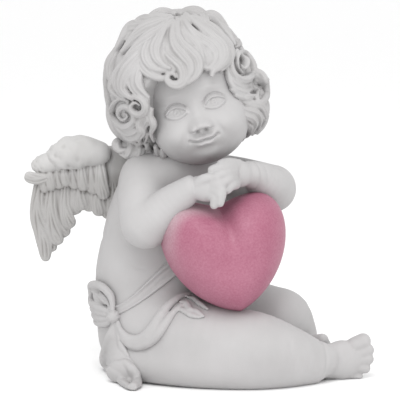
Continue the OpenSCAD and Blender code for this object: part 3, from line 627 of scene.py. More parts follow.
def onSkin(px, py, lift=0.0):
    # where the camera's line through a place of the picture first meets the flesh, lifted, and the way out
    px, py = np.atleast_1d(np.asarray(px, float)), np.atleast_1d(np.asarray(py, float))
    depth = np.arange(fleshGrid["low"][1], fleshGrid["high"][1] - 1.0, fleshGrid["step"] / 2)
    line = seen(px[:, None], py[:, None], depth[None, :])
    cell = np.clip(np.rint((line - gridLow) / fleshGrid["step"]).astype(int), 1, np.array(gridShape) - 2)
    value = fleshField[tuple(np.moveaxis(cell, -1, 0))]
    inside = value < 0.0
    hit = np.where(inside.any(1), inside.argmax(1), value.argmin(1))
    pick = np.arange(len(px))
    out = unit(fleshSlope[tuple(cell[pick, hit].T)])
    return line[pick, hit] + out * (np.asarray(lift) - value[pick, hit])[:, None], out


# bare: the strength of the thin paint and painted highlight near the rim of the upper-left lobe
heartShape = {"at": (8.6, -26.6, 41.4), "wide": 39.6, "tall": 37.0, "thick": 33.0, "tilt": 11.0, "turn": 8.0,
              "lobe": 1.9, "lobeAt": 0.85, "lobeWide": 0.4, "lobeOut": 0.6, "groove": 2.6, "grooveWide": 2.4,
              "swell": 1.0, "swellAt": (9.0, 6.0), "swellWide": (5.0, 6.0), "puff": 0.66, "pinch": 1.75,
              "bare": 0.85, "columns": 240, "rows": 120}


def buildHeart(cfg):
    # puffed heart: an outline of two lobes and a tip, shrunk by a power of cos(el); sin(el) gives the depth
    a, el = ballAngles(cfg["columns"], cfg["rows"], pole=1.562)
    s = np.cos(el) ** cfg["puff"]
    scale = cfg["tall"] / (13 * 1.955)  # the curve of z spans about 25 before it is scaled
    full = cfg["lobe"] * hill(a + cfg["lobeAt"], cfg["lobeWide"])  # the viewer's left lobe is the fuller one
    x = (cfg["wide"] / 2 * np.sign(a) * np.abs(np.sin(a)) ** cfg["pinch"] - cfg["lobeOut"] * full) * s
    z = (scale * (13 * np.cos(a) - 3.0 * np.cos(2 * a) - 1.4 * np.cos(3 * a) + 2) + full) * s
    front = smooth(np.sin(el) * 3.0)
    groove = cfg["groove"] * hill(x - 0.8, cfg["grooveWide"]) * smooth((z - 1.0) / 12.0)
    swell = cfg["swell"] * hill(np.abs(x) - cfg["swellAt"][0], cfg["swellWide"][0])
    swell = swell * hill(z - cfg["swellAt"][1], cfg["swellWide"][1])
    y = -cfg["thick"] / 2 * np.sin(el) + front * (groove - swell)
    p = np.stack([x, y, z], axis=-1) @ turnMatrix(0.0, -cfg["tilt"], cfg["turn"]).T + np.array(cfg["at"])
    rim = smooth((-0.1 - np.sin(el)) / 0.4)
    # pale: thin paint and a painted highlight on the front near the rim of the upper-left lobe, where the
    # light falls
    pale = cfg["bare"] * smooth((s - 0.74) / 0.22) * hill(a + 0.95, 0.55) * smooth(np.sin(el) * 4.0)
    makePiece("heartCasting", tubeShell(p, np.clip(np.maximum(rim, pale), 0, 1)), "heart", "heart_paint")


buildHeart(heartShape)


headShape = {"at": (-2.5, -13.2, 91.8), "tilt": 16.5, "lift": 6.0, "columns": 320, "rows": 280, "blend": 4.0,
             "skull": ((0.0, 1.0, 3.5), (17.4, 19.3, 19.2)), "jaw": ((0.0, -4.6, -10.2), (15.6, 14.6, 13.0))}
headTurn = turnMatrix(-headShape["lift"], -headShape["tilt"], 0.0)
headAt = np.array(headShape["at"])
# plain hills and hollows of the face: height, place and width across, place and width up, in mm
faceHills = {"forehead": (1.0, 0.0, 10.0, 5.0, 6.0), "cheeks": (2.1, 8.8, 4.4, -12.4, 4.2),
             "sockets": (-1.7, 5.6, 3.4, -4.6, 2.6), "nostrils": (-1.0, 1.35, 0.55, -12.75, 0.45),
             "lip groove": (-0.45, 0.0, 0.75, -14.0, 0.9), "muzzle": (1.6, 0.0, 4.6, -15.6, 2.7),
             "mouth corners": (-0.7, 4.4, 0.6, -15.15, 0.6), "under lip": (-0.8, 0.0, 3.2, -18.3, 0.9),
             "chin": (1.7, 0.0, 3.4, -20.4, 2.1)}
eyeShape = {"x": 6.2, "z": -5.6, "half": 3.1, "top": 1.5, "low": 1.05, "ball": 1.3, "sharp": 0.08,
            "iris": 1.15, "irisDeep": 0.24, "pupil": 0.48, "pupilDeep": 0.38, "glint": 0.28,
            "glintHigh": 0.28, "lidHigh": (1.6, 1.25), "foldDeep": (0.55, 0.3)}


def crowded(low, high, count, gain, at, wide, closed=True):
    # parameter values that gather round one place: the inverse of a summed density
    t = np.linspace(low, high, 4000)
    total = np.cumsum(1.0 + gain * hill(t - at, wide))
    total = (total - total[0]) / (total[-1] - total[0])
    return np.interp(np.linspace(0.0, 1.0, count, endpoint=closed), total, t)


def eggReach(d, egg):
    # length along direction d from the origin to an egg that holds the origin: the far root of a quadratic
    c, r = np.array(egg[0]), np.array(egg[1])
    a = ((d / r) ** 2).sum(-1)
    b = -2.0 * (d * c / r**2).sum(-1)
    q = ((c / r) ** 2).sum() - 1.0
    return (-b + np.sqrt(b * b - 4 * a * q)) / (2 * a)


def steepStep(x, sharp):
    # step from 0 to 1 at zero: the logistic curve over a small width
    return 1.0 / (1.0 + np.exp(-np.clip(x / sharp, -40, 40)))


def eyeRelief(x, z, cfg):
    # eyeball with its iris ring, pupil and glint, between an upper and a lower lid, fading out into the skin
    dx, dz = np.abs(x) - cfg["x"], z - cfg["z"]
    lid = 1.0 - np.clip(dx / cfg["half"], -1, 1) ** 2
    top, low = cfg["top"] * lid**0.8 + 0.09 * dx, -cfg["low"] * lid + 0.05 * dx
    ball = cfg["ball"] * (1.0 - (dx / 4.0) ** 2 - (dz / 2.9) ** 2)
    rho = np.hypot(dx, dz - 0.25)
    ball += -cfg["irisDeep"] * hill(rho - cfg["iris"], 0.17) - cfg["pupilDeep"] * hill(rho, cfg["pupil"])
    ball += cfg["glintHigh"] * hill(np.hypot(x - np.sign(x) * cfg["x"] + 0.35, dz - 0.6), cfg["glint"])
    up, down = np.maximum(dz - top, 0.0), np.maximum(low - dz, 0.0)
    upper = cfg["lidHigh"][0] * hill(up, 1.05) - cfg["foldDeep"][0] * hill(up - 1.45, 0.3)
    lower = cfg["lidHigh"][1] * hill(down, 0.95) - cfg["foldDeep"][1] * hill(down - 1.3, 0.35)
    opened = steepStep(top - dz, cfg["sharp"]) * steepStep(dz - low, cfg["sharp"])
    lids = np.where(dz > 0, upper, lower)
    return smooth((4.3 - np.abs(dx)) / 1.5) * (opened * ball + (1.0 - opened) * lids)


def faceRelief(x, z):
    # raised and sunk features of a plain cherub face in mm, each a hill or a step across (x) and up (z)
    ax = np.abs(x)
    h = sum(high * hill(ax - at, wide) * hill(z - up, tall)
            for high, at, wide, up, tall in faceHills.values())
    h += 0.5 * hill(ax - 6.4, 3.4) * hill(z + 0.9 - 0.4 * hill(ax - 6.2, 2.4), 1.1)  # brows
    h += 0.9 * hill(x, 2.3) * smooth((z + 10.5) / 3.5) * smooth((-2.5 - z) / 4.5)  # bridge
    h += 3.6 * hill(x, 2.35) * hill(z + 10.9, 2.0) * smooth((z + 13.1) / 1.5)  # nose tip
    h += 2.2 * hill(ax - 2.55, 1.1) * hill(z + 11.7, 1.25) * smooth((z + 13.2) / 1.1)  # nostril wings
    line = -15.75 + 0.03 * x**2 + 0.22 * hill(x, 0.8)  # where the lips meet
    h += 0.85 * hill(z - line - 0.8 - 0.2 * hill(ax - 1.0, 0.7), 0.62) * smooth((4.5 - ax) / 2.2)  # upper lip
    h += 1.15 * hill(z - line + 0.95, 0.8) * smooth((3.8 - ax) / 2.4)  # lower lip
    h -= 0.75 * hill(z - line, 0.3) * smooth((4.5 - ax) / 0.9)
    h -= 0.35 * hill(ax - 5.9 + 0.3 * (z + 14.0), 0.9) * hill(z + 14.0, 2.0)  # cheek folds
    return h + eyeRelief(x, z, eyeShape)


def buildHead(cfg):
    # head: skull and jaw eggs joined by a rounded maximum, with the face raised forward on the front
    az = crowded(-180.0, 180.0, cfg["columns"], gain=6.0, at=0.0, wide=28.0, closed=False)
    el = crowded(-89.6, 89.6, cfg["rows"], gain=4.0, at=-30.0, wide=24.0)
    d = directions(np.radians(az)[None, :], np.radians(el)[:, None])
    p = d * -softMin(-eggReach(d, cfg["skull"]), -eggReach(d, cfg["jaw"]), cfg["blend"])[..., None]
    relief = faceRelief(p[..., 0], p[..., 2]) * smooth((-p[..., 1] - 5.0) / 6.0)
    p = p + unit(d * 0.45 + 0.55 * toViewer) * relief[..., None]
    makePiece("headCasting", tubeShell(p @ headTurn.T + headAt), "head", "body_resin")


buildHead(headShape)


# hair mass: a round crown and a lower, wider egg for the curls at both sides, and a tuft on the shoulder
hairShape = {"columns": 220, "rows": 160, "sunk": 1.0, "overhang": 1.2, "lump": 0.3, "blend": 2.0,
             "eggs": [{"at": seen(178, 84, -11.6), "lean": 0.0, "radii": (23.2, 23.2, 23.2)},
                      {"at": seen(189, 112, -9.6), "lean": 4.0, "radii": (25.2, 20.0, 12.4)}],
             "tufts": [{"at": seen(140, 148, -8.6), "lean": -10.0, "radii": (9.0, 7.4, 4.6)}]}
hairMiddle = hairShape["eggs"][0]["at"]
hairline = {"wide": 16.4, "tall": 16.5, "drop": 8.0, "chin": -15.5}


def eggAxes(egg):
    # matrix of an egg that leans sideways
    return turnMatrix(0.0, -egg["lean"], 0.0)


def hairlineMask(p, cfg):
    # 1 where hair grows and 0 on the face: a tall oval round the face, open under the chin
    p = (p - headAt) @ headTurn
    front = np.hypot(p[..., 0] / cfg["wide"], (p[..., 2] + cfg["drop"]) / cfg["tall"])
    face = smooth((1.12 - front) / 0.14) * smooth((-p[..., 1] + 1.0) / 4.0)
    below = smooth((cfg["chin"] - p[..., 2]) / 3.0)
    return (1.0 - face) * (1.0 - below)


def hairReach(d):
    # length along d from the middle of the hair to the farther of its two eggs, rounded where they meet
    crown, sides = (eggReach(d @ eggAxes(egg), ((egg["at"] - hairMiddle) @ eggAxes(egg), egg["radii"]))
                    for egg in hairShape["eggs"])
    return -softMin(-crown, -sides, hairShape["blend"])


def massShell(cfg):
    # combed mass: the joined eggs with low lumps, sunk under the skin where there is no hair
    az, el = ballAngles(cfg["columns"], cfg["rows"], pole=1.56)
    d = directions(az, el)
    lump = np.sin(az * 7.0 + 1.3 * np.sin(el * 6.0)) * np.sin(el * 7.0 + 2.0 * np.sin(az * 4.0)) * np.cos(el)
    reach = hairReach(d) - cfg["sunk"] + cfg["lump"] * lump
    mask = hairlineMask(hairMiddle + d * reach[..., None], hairline)
    inner = (hairMiddle - headAt) @ headTurn
    skin = eggReach(d @ headTurn, (np.array(headShape["skull"][0]) - inner, headShape["skull"][1])) - 2.0
    return tubeShell(hairMiddle + d * (reach * mask + skin * (1.0 - mask))[..., None])


def tuftShell(egg):
    # tuft of hair on the shoulder: a turned egg
    d = directions(*ballAngles(60, 34))
    return tubeShell(egg["at"] + (d * (np.array(egg["radii"]) - hairShape["sunk"])) @ eggAxes(egg).T)


def hairPoint(px, py, lift):
    # place on the hair that the camera sees at a point of the picture: its ray met with every egg, and the
    # nearest hit taken; a ray that passes an egg by counts as far behind and is drawn back to its overhang
    ray = unit(lookAlong + ((px - pxMiddle) / pxAtUnit)[:, None] * lookRight
               + ((pxMiddle - py) / pxAtUnit)[:, None] * lookUp)
    places, outs, marks = [], [], []
    for egg in hairShape["eggs"] + hairShape["tufts"]:
        axes, radii = eggAxes(egg), np.array(egg["radii"]) + lift[:, None]
        o, r = ((eyeAt - egg["at"]) @ axes) / radii, (ray @ axes) / radii
        a, b, c = (r * r).sum(-1), (o * r).sum(-1), (o * o).sum(-1) - 1.0
        t = (-b - np.sqrt(np.maximum(b * b - a * c, 0.0))) / a
        q = o + t[:, None] * r
        miss = np.maximum(np.linalg.norm(q, axis=-1), 1.0)
        q = q / np.maximum(miss / hairShape["overhang"], 1.0)[:, None]
        places.append((q * radii) @ axes.T + egg["at"])
        outs.append(unit(q / radii) @ axes.T)
        marks.append(t + (1000.0 * (miss - 1.0001) + 50.0) * (miss > 1.0001))
    pick = np.argmin(np.stack(marks), axis=0)[None, :, None]
    return [np.take_along_axis(np.stack(rows), pick, 0)[0] for rows in (places, outs)]


def hairSpot(az, el, lift, near=0.02):
    # place on the hair at a turn and height in degrees about the head, and the way out from its slope
    d = directions(np.radians(az), np.radians(el)) @ headTurn.T
    reach = hairReach(d)
    side = unit(np.cross(d, upward))
    ways = (side, np.cross(side, d))
    slope = [((hairReach(unit(d + near * v)) - reach) / (near * reach))[:, None] * v for v in ways]
    return hairMiddle + d * (reach + lift)[:, None], unit(d - slope[0] - slope[1])


def lockShell(path, out, wide, high, strands, deep=0.26, wander=0.12, sides=84):
    # lock of hair: a low arched profile with fine furrows, carried along a path and thinned to both ends
    side, out = pathFrame(path, out)
    t = np.linspace(0.0, 1.0, len(path))[:, None]
    x, y = np.cos(ringAngles(sides)), np.sin(ringAngles(sides))
    furrow = np.cos(math.pi * strands * (x + wander * np.sin(t * 7.0)))
    arch = np.where(y > 0, np.abs(y) ** 0.6, -0.9 * np.abs(y))
    high, wide = high[:, None], wide[:, None]
    rise = high * arch + deep * furrow * smooth((y - 0.1) / 0.4) * np.minimum(wide / 1.2, 1.0)
    return carried(path, side, out, wide * x, rise)


def taper(count, start, full, end):
    # thickness along a lock: from start to full in the middle and down to end
    t = np.linspace(0.0, 1.0, count)
    rising, falling = smooth(t / 0.4), smooth((t - 0.4) / 0.6)
    return np.where(t < 0.4, start + (full - start) * rising, full + (end - full) * falling)


lockSet = {"perPoint": 20, "arch": 0.5, "facing": 0.5, "ease": 8, "widths": (0.45, 1.0, 0.3),
           "heights": (0.6, 1.0, 0.6)}


def pictureLock(points, wide, high, strands, lift, cfg=lockSet):
    # lock drawn through points of the picture and laid on the hair
    path = curveThrough(points, cfg["perPoint"] * len(points))
    count = len(path)
    arch = cfg["arch"] * np.sin(np.linspace(0.0, math.pi, count))
    p, n = hairPoint(path[:, 0], path[:, 1], lift + arch)
    p, n = easedPath(p, unit(n + cfg["facing"] * toViewer), cfg["ease"])
    half = taper(count, *cfg["widths"]) * wide * 0.5
    return lockShell(p, n, half, taper(count, *cfg["heights"]) * high, strands)


# points of the picture, width mm, height mm, strands
fringeLocks = [
    ([(172, 18), (160, 27), (149, 40), (142, 53), (143, 64), (150, 73), (160, 78), (168, 77)],
     5.8, 1.7, 4.0),
    ([(170, 20), (159, 31), (151, 43), (147, 55), (151, 65), (159, 70), (167, 70)], 5.0, 1.9, 4.0),
    ([(169, 23), (161, 35), (156, 47), (157, 57), (163, 65), (171, 69)], 4.2, 1.8, 3.0),
    ([(173, 19), (167, 31), (165, 43), (167, 53), (174, 60), (181, 66), (184, 74), (183, 81), (178, 85),
      (171, 84), (167, 79), (169, 74), (174, 74), (176, 78)], 3.9, 2.0, 3.0),
    ([(178, 20), (177, 34), (181, 45), (189, 53), (196, 60), (198, 68), (195, 76), (188, 82), (180, 86)],
     4.6, 1.9, 3.0),
    ([(174, 22), (172, 36), (175, 47), (182, 55), (189, 63), (191, 71), (188, 78), (184, 82)],
     3.6, 1.7, 3.0),
    ([(181, 24), (187, 38), (195, 48), (200, 57), (203, 65), (207, 71)], 4.0, 1.7, 3.0),
    ([(182, 18), (190, 30), (200, 40), (210, 46), (216, 54), (215, 62), (209, 68), (203, 67)],
     4.4, 1.9, 3.0),
    ([(185, 15), (200, 27), (212, 38), (221, 47), (224, 57), (219, 66), (213, 71), (211, 77)],
     4.6, 1.8, 4.0),
    ([(190, 14), (205, 25), (218, 36), (227, 47), (229, 58), (225, 66), (219, 71)], 4.6, 1.8, 4.0),
]
underLocks = [
    ([(166, 28), (162, 46), (165, 60), (174, 72)], 7.4, 1.3, 4.0),
    ([(184, 26), (196, 42), (206, 54), (209, 67)], 7.4, 1.3, 4.0),
    ([(196, 22), (208, 34), (218, 46), (222, 58)], 6.4, 1.3, 4.0),
    ([(158, 34), (148, 48), (146, 62), (154, 73)], 6.4, 1.3, 4.0),
]
leftLocks = [
    ([(176, 12), (165, 9), (155, 12), (148, 18), (140, 27)], 5.4, 1.9, 3.0),
    ([(162, 13), (149, 17), (139, 19), (132, 26), (123, 39)], 5.6, 1.9, 3.0),
    ([(147, 20), (135, 23), (127, 25), (119, 35), (111, 49)], 5.6, 1.8, 3.0),
    ([(172, 14), (156, 16), (139, 22), (124, 34), (113, 48)], 6.4, 1.6, 4.0),
    ([(171, 17), (156, 22), (141, 30), (128, 41), (119, 51)], 6.8, 1.8, 4.0),
    ([(174, 19), (161, 29), (148, 40), (136, 49), (126, 57), (119, 68)], 6.4, 1.9, 4.0),
    ([(119, 40), (112, 51), (107, 62), (106, 72), (109, 79), (112, 75)], 5.0, 1.9, 3.0),
    ([(126, 56), (119, 66), (115, 76), (115, 85), (118, 93), (124, 98)], 4.2, 1.9, 3.0),
    ([(150, 43), (141, 52), (133, 62), (126, 72), (122, 82), (122, 90), (127, 96), (133, 99)],
     5.6, 2.1, 3.0),
    ([(151, 48), (143, 60), (136, 71), (133, 81), (136, 90), (143, 96), (149, 100)], 5.0, 2.0, 3.0),
    ([(116, 68), (111, 79), (109, 88), (112, 94), (118, 98)], 3.6, 1.8, 2.0),
    ([(124, 96), (132, 97), (140, 99), (145, 105), (144, 112), (138, 115), (131, 112), (130, 106),
      (135, 103), (140, 106)], 2.5, 1.9, 2.0),
    ([(129, 102), (119, 99), (111, 104), (108, 113), (111, 122), (119, 128), (128, 127), (134, 120),
      (132, 111), (124, 107), (117, 110), (116, 117), (121, 121), (126, 117), (123, 113)], 2.7, 2.0, 2.0),
    ([(108, 119), (113, 128), (121, 134), (130, 135), (137, 130), (140, 121)], 3.2, 1.8, 2.0),
    ([(116, 131), (124, 139), (133, 141), (140, 134)], 3.2, 1.7, 2.0),
    ([(148, 100), (145, 110), (147, 119), (143, 128), (146, 137), (143, 146)], 2.7, 1.8, 2.0),
    ([(152, 108), (150, 117), (153, 126), (150, 135), (153, 144)], 2.3, 1.6, 2.0),
    ([(141, 116), (138, 125), (141, 133), (137, 141), (139, 147)], 2.8, 1.8, 2.0),
    ([(128, 137), (133, 143), (131, 148)], 3.0, 1.6, 2.0),
    ([(145, 61), (138, 71), (137, 82), (142, 91), (149, 98)], 3.6, 1.8, 2.0),
]
tuftLocks = [
    ([(121, 138), (117, 144), (121, 150), (129, 148)], 3.0, 1.8, 2.0),
    ([(129, 140), (132, 148), (128, 155), (121, 153)], 3.2, 1.8, 2.0),
    ([(138, 141), (140, 150), (136, 158), (129, 158)], 3.2, 1.9, 2.0),
    ([(147, 143), (149, 152), (144, 160), (137, 161)], 3.0, 1.8, 2.0),
    ([(155, 145), (158, 153), (153, 160), (146, 160)], 2.8, 1.8, 2.0),
    ([(162, 147), (164, 154), (160, 159)], 2.4, 1.6, 2.0),
]
rightLocks = [
    ([(178, 12), (187, 8), (197, 9), (203, 13), (208, 22), (217, 32)], 5.6, 1.9, 3.0),
    ([(197, 12), (206, 13), (215, 14), (223, 23), (230, 33), (236, 44)], 5.6, 2.0, 3.0),
    ([(184, 13), (197, 18), (210, 26), (221, 35), (229, 45), (232, 52)], 5.0, 1.7, 4.0),
    ([(230, 34), (236, 39), (241, 43), (236, 47)], 2.6, 1.8, 2.0),
    ([(238, 49), (233, 57), (232, 66), (235, 74), (241, 79), (248, 79), (254, 73), (255, 65), (251, 57),
      (245, 51), (240, 53), (238, 60), (239, 67), (243, 73)], 2.5, 2.1, 2.0),
    ([(243, 54), (247, 58), (248, 64), (245, 68), (242, 64)], 1.8, 1.9, 1.0),
    ([(227, 67), (229, 76), (234, 83), (242, 86), (250, 84), (256, 77)], 2.3, 1.9, 2.0),
    ([(229, 80), (234, 87), (241, 91), (248, 91), (253, 86), (255, 80)], 2.2, 1.9, 2.0),
    ([(252, 85), (253, 77), (258, 72), (264, 74), (269, 81), (271, 90), (271, 99), (266, 104), (261, 102),
      (261, 95), (264, 90), (268, 93)], 2.6, 2.2, 2.0),
    ([(256, 87), (257, 79), (262, 77), (266, 83), (266, 89)], 2.4, 2.0, 2.0),
    ([(231, 89), (240, 94), (249, 94), (257, 91)], 2.0, 1.8, 2.0),
    ([(235, 95), (245, 98), (254, 98), (261, 96)], 2.5, 1.8, 2.0),
    ([(237, 98), (247, 104), (256, 106), (264, 108), (270, 114), (272, 122), (269, 131), (262, 138)],
     3.2, 2.1, 3.0),
    ([(239, 102), (245, 110), (253, 113), (261, 116), (265, 123), (263, 132), (256, 139)], 3.0, 2.0, 2.0),
    ([(241, 109), (247, 117), (255, 120), (260, 126), (257, 134), (251, 140)], 2.7, 1.9, 2.0),
    ([(242, 117), (248, 124), (254, 128), (253, 135), (248, 142)], 2.5, 1.8, 2.0),
    ([(242, 127), (246, 134), (246, 141), (242, 147)], 2.3, 1.7, 2.0),
]
# locks read at the outline are drawn in towards the middle of the head, more the farther out they lie
drawIn = {"middle": (184.0, 84.0), "reach": 80.0, "share": 0.066}
# the back, not in the picture: two layers of waved locks, each a line in degrees across and above the middle
backLayers = [
    {"line": [(0, 36), (4, 20), (-3, 4), (4, -12), (-2, -26), (2, -36), (9, -37), (9, -29), (4, -30)],
     "count": 14, "from": 92.0, "to": 268.0, "wide": 6.6, "high": 2.0, "lifts": (-1.3, -0.7)},
    {"line": [(0, 86), (4, 68), (-3, 50), (4, 32), (-3, 17), (1, 6), (8, 4), (9, 12), (4, 12)],
     "count": 11, "from": 96.0, "to": 264.0, "wide": 6.8, "high": 2.0, "lifts": (-0.9, -0.2)},
]
backSet = {"count": 120, "stretch": 0.05, "rise": 2.0, "turn": 2.0, "between": (-60.0, 88.0), "strands": 3.0,
           "widths": (0.3, 0.5, 0.2), "heights": (0.5, 1.0, 0.7)}


def drawnIn(points, cfg):
    # points moved to the middle by a share that grows as the square of their distance
    off = np.array(points, float) - cfg["middle"]
    far = np.linalg.norm(off, axis=1, keepdims=True) / cfg["reach"]
    return cfg["middle"] + off * (1.0 - cfg["share"] * far**2)


def pickedShells(locks, step, sink):
    # locks laid where the picture has them, at three heights in turn
    return [pictureLock(*lock, step * (k % 3) - sink) for k, lock in enumerate(locks)]


def rimShells(locks):
    # locks of the two sides, drawn in first
    drawn = [(drawnIn(points, drawIn), *rest) for points, *rest in locks]
    return pickedShells(drawn, step=0.45, sink=1.1)


def backShells(layers, shape):
    # waved locks side by side round the back of the head, high and low in turn, each moved by seeded chance
    shells, count = [], shape["count"]
    for cfg in layers:
        line = curveThrough(cfg["line"], count)
        for k, az in enumerate(np.linspace(cfg["from"], cfg["to"], cfg["count"])):
            jitter = rng.uniform(-1.0, 1.0, 3)
            el = line[:, 1] * (1.0 + shape["stretch"] * jitter[0]) + shape["rise"] * jitter[1]
            across = line[:, 0] * (1.0 if az > 180.0 else -1.0) / np.maximum(np.cos(np.radians(el)), 0.35)
            turn = az + shape["turn"] * jitter[2] + across
            p, n = hairSpot(turn, np.clip(el, *shape["between"]), cfg["lifts"][k % 2])
            half = taper(count, *shape["widths"]) * cfg["wide"]
            high = taper(count, *shape["heights"]) * cfg["high"]
            shells.append(lockShell(p, n, half, high, shape["strands"]))
    return shells


def buildHair(stain=0.3):
    # the combed mass, then castings for the locks of the left, the right, the back and the fringe
    mass = [massShell(hairShape)] + [tuftShell(egg) for egg in hairShape["tufts"]]
    left = rimShells(leftLocks) + pickedShells(tuftLocks, step=0.4, sink=0.8)
    fringe = pickedShells(fringeLocks, step=0.6, sink=1.0) + pickedShells(underLocks, step=0.0, sink=0.8)
    castings = {"hairCasting": (mass, 0.45, "hair_cap"), "leftLocksCasting": (left, 0.25, "hair_cap"),
                "rightLocksCasting": (rimShells(rightLocks), 0.25, "hair_cap"),
                "backLocksCasting": (backShells(backLayers, backSet), 0.36, "hair_cap"),
                "fringeCasting": (fringe, 0.26, "hair_fringe")}
    for name, (shells, cell, node) in castings.items():
        makePiece(name, castTogether(shells, cell, soften=1, stain=stain), node, "hair_resin")


buildHair()


# wings: places are s along the wing from its root, h above the root and n out of its shown face, in mm
wingRoots = {"right": ((-25.5, 0.8, 61.0), (-0.996, 0.087, 0.0), (-0.087, -0.996, 0.0)),
             "left": ((-11.7, 12.4, 61.0), (0.087, 0.996, 0.0), (0.996, -0.087, 0.0))}
# rows of the rolled edge: s, h, n, radius
wingRoll = [(3.4, 10.4, 2.6, 2.2), (5.2, 10.5, 3.0, 3.4), (8.0, 10.7, 3.2, 4.2), (12.2, 11.1, 3.2, 5.2),
            (17.0, 10.4, 3.1, 5.4), (20.6, 9.2, 2.9, 4.5), (22.8, 8.4, 2.6, 3.3), (24.2, 7.8, 2.4, 2.2)]
wingTip = [(20.5, 8.0, 2.8, 3.0), (23.5, 7.4, 2.6, 3.3), (26.2, 6.7, 2.3, 3.0), (28.4, 6.0, 1.9, 2.1),
           (29.4, 5.6, 1.6, 1.2)]
# feathers: shaft points s, h, then width and layer
primaries = [
    ([(27.0, 1.0), (28.0, -6.0), (27.8, -11.0), (26.6, -15.5), (25.7, -20.0), (25.4, -25.6)], 5.4, 1.2),
    ([(25.0, 1.0), (25.8, -7.0), (25.6, -13.0), (24.6, -18.0), (22.9, -22.4)], 5.2, 0.2),
    ([(22.9, 1.0), (23.6, -7.0), (23.2, -12.5), (22.0, -17.0), (20.4, -19.8)], 5.0, 1.2),
    ([(20.7, 1.0), (21.3, -6.5), (20.8, -11.5), (19.5, -15.2), (18.1, -17.1)], 4.8, 0.2),
    ([(18.5, 1.0), (18.9, -6.0), (18.3, -10.0), (17.3, -12.8), (16.3, -14.2)], 4.6, 0.9),
    ([(16.3, 1.0), (16.4, -5.0), (15.6, -8.0), (14.8, -9.9)], 4.4, 0.3),
]
secondaries = [
    ([(14.4, 1.0), (14.0, -4.5), (13.2, -8.6)], 4.8, 0.9),
    ([(11.3, 1.0), (11.0, -4.5), (10.3, -9.0)], 5.0, 0.2),
    ([(8.4, 1.0), (8.0, -5.0), (7.2, -10.4)], 5.0, 0.9),
    ([(5.6, 1.0), (5.2, -5.5), (4.4, -11.4)], 4.8, 0.2),
    ([(3.0, 1.0), (2.6, -6.0), (1.6, -12.4)], 4.6, 0.9),
    ([(0.6, 1.0), (0.2, -6.0), (-0.8, -13.0)], 4.4, 0.2),
]
coverts = [
    ([(26.0, 4.4), (25.6, 0.8), (25.1, -2.7)], 3.1, 2.1),
    ([(23.6, 4.6), (23.3, 1.2), (22.9, -2.0)], 3.0, 2.6),
    ([(21.2, 5.0), (20.8, 1.6), (20.1, -1.4)], 3.1, 2.1),
    ([(18.8, 5.4), (18.4, 2.2), (17.7, -0.5)], 3.2, 2.7),
    ([(16.0, 5.6), (15.7, 2.0), (15.1, -1.4)], 3.6, 2.2),
    ([(13.0, 7.5), (12.7, 2.0), (12.1, -2.0)], 3.8, 2.7),
    ([(10.0, 8.2), (9.6, 1.4), (8.9, -3.0)], 4.2, 2.1),
    ([(7.0, 8.6), (6.4, 0.8), (5.4, -4.7)], 4.4, 2.6),
]
wingLeaf = ([(24.0, 2.6), (27.6, 2.0), (31.9, 3.0)], 3.9, 3.2)
wingWebs = [((3.5, 5.0, 0.0), (11.0, 7.8, 2.0)), ((17.5, 4.2, 0.9), (11.0, 5.2, 1.3))]
featherShape = {"count": 130, "sides": 72, "bow": 0.7, "dip": 0.5, "widest": 0.7,
                "shaft": 0.3, "barbStep": 11.0}

# darkening of the wing: its share, the edge where it starts and how far it fades;
# low down the feathers below the rolled edge are darker, and near the root it is painted shade from the hair
# and the back
wingShadeAndDarkening = {"low": (0.3, 5.5, 4.0), "root": (0.3, 4.5, 3.0)}


def wingPlace(side, shn):
    # places s, h, n of a wing, in mm of the frame
    root, out, face = (np.array(v) for v in wingRoots[side])
    return root + shn[..., 0:1] * out + shn[..., 1:2] * upward + shn[..., 2:3] * face


def featherShell(side, rows, wide, layer, thick=1.6, barbs=0.2, cfg=featherShape):
    # feather: a leaf carried along its shaft, with a raised shaft and slanting barb furrows on both faces
    line = curveThrough(rows, cfg["count"])
    t = np.linspace(0.0, 1.0, cfg["count"])
    path = wingPlace(side, np.column_stack([line, layer + cfg["bow"] * np.sin(t * math.pi) - cfg["dip"] * t]))
    face = np.array(wingRoots[side][2])
    across = pathFrame(path, face)[0]
    x, y = np.cos(ringAngles(cfg["sides"])), np.sin(ringAngles(cfg["sides"]))
    long = np.linalg.norm(np.diff(path, axis=0), axis=1).sum()
    end = np.sqrt(np.clip(1.0 - ((t - cfg["widest"]) / (1.003 - cfg["widest"])) ** 2, 0.0, 1.0))
    half = np.where(t < cfg["widest"], 0.72 + 0.28 * smooth(t / 0.5), end)
    half = np.maximum(wide / 2 * half, 0.1)[:, None]
    t = t[:, None]
    shaft = cfg["shaft"] * hill(x, 0.13) * (1.0 - 0.6 * t)
    comb = np.cos(2 * math.pi * (1.9 * np.abs(x) - t * long / cfg["barbStep"]))
    comb = barbs * comb * smooth((0.97 - np.abs(x)) / 0.2)
    rise = thick / 2 * np.abs(y) ** 0.7 + (shaft + comb) * smooth((np.abs(y) - 0.15) / 0.3)
    return carried(path, across, face[None, :], half * x, np.sign(y) * rise * np.minimum(half / 0.9, 1.0))


def rollShell(side, rows, scale):
    # rolled leading edge: a round limb, smooth near the back and lumpy with low scales farther out
    count, a = 110, ringAngles(96)
    line = curveThrough(rows, count)
    path = wingPlace(side, line[:, :3])
    v, w = pathFrame(path, np.array(wingRoots[side][2]))
    cap = np.sqrt(np.clip(1.0 - np.linspace(-1.0, 1.0, count) ** 8, 0.0, 1.0))
    r = np.maximum(line[:, 3] * cap, 0.08)[:, None]
    t = np.linspace(0.0, 1.0, count)[:, None]
    lump = np.sin(30.0 * t) * np.sin(4.0 * a + 7.0 * t)
    lump += 0.3 * np.sin(47.0 * t + 2.0 * a) * np.sin(7.0 * a - 20.0 * t)
    r = r + scale * lump * smooth(r / 1.5) * smooth((t - 0.2) / 0.35)
    return carried(path, v, w, r * np.cos(a), r * np.sin(a))


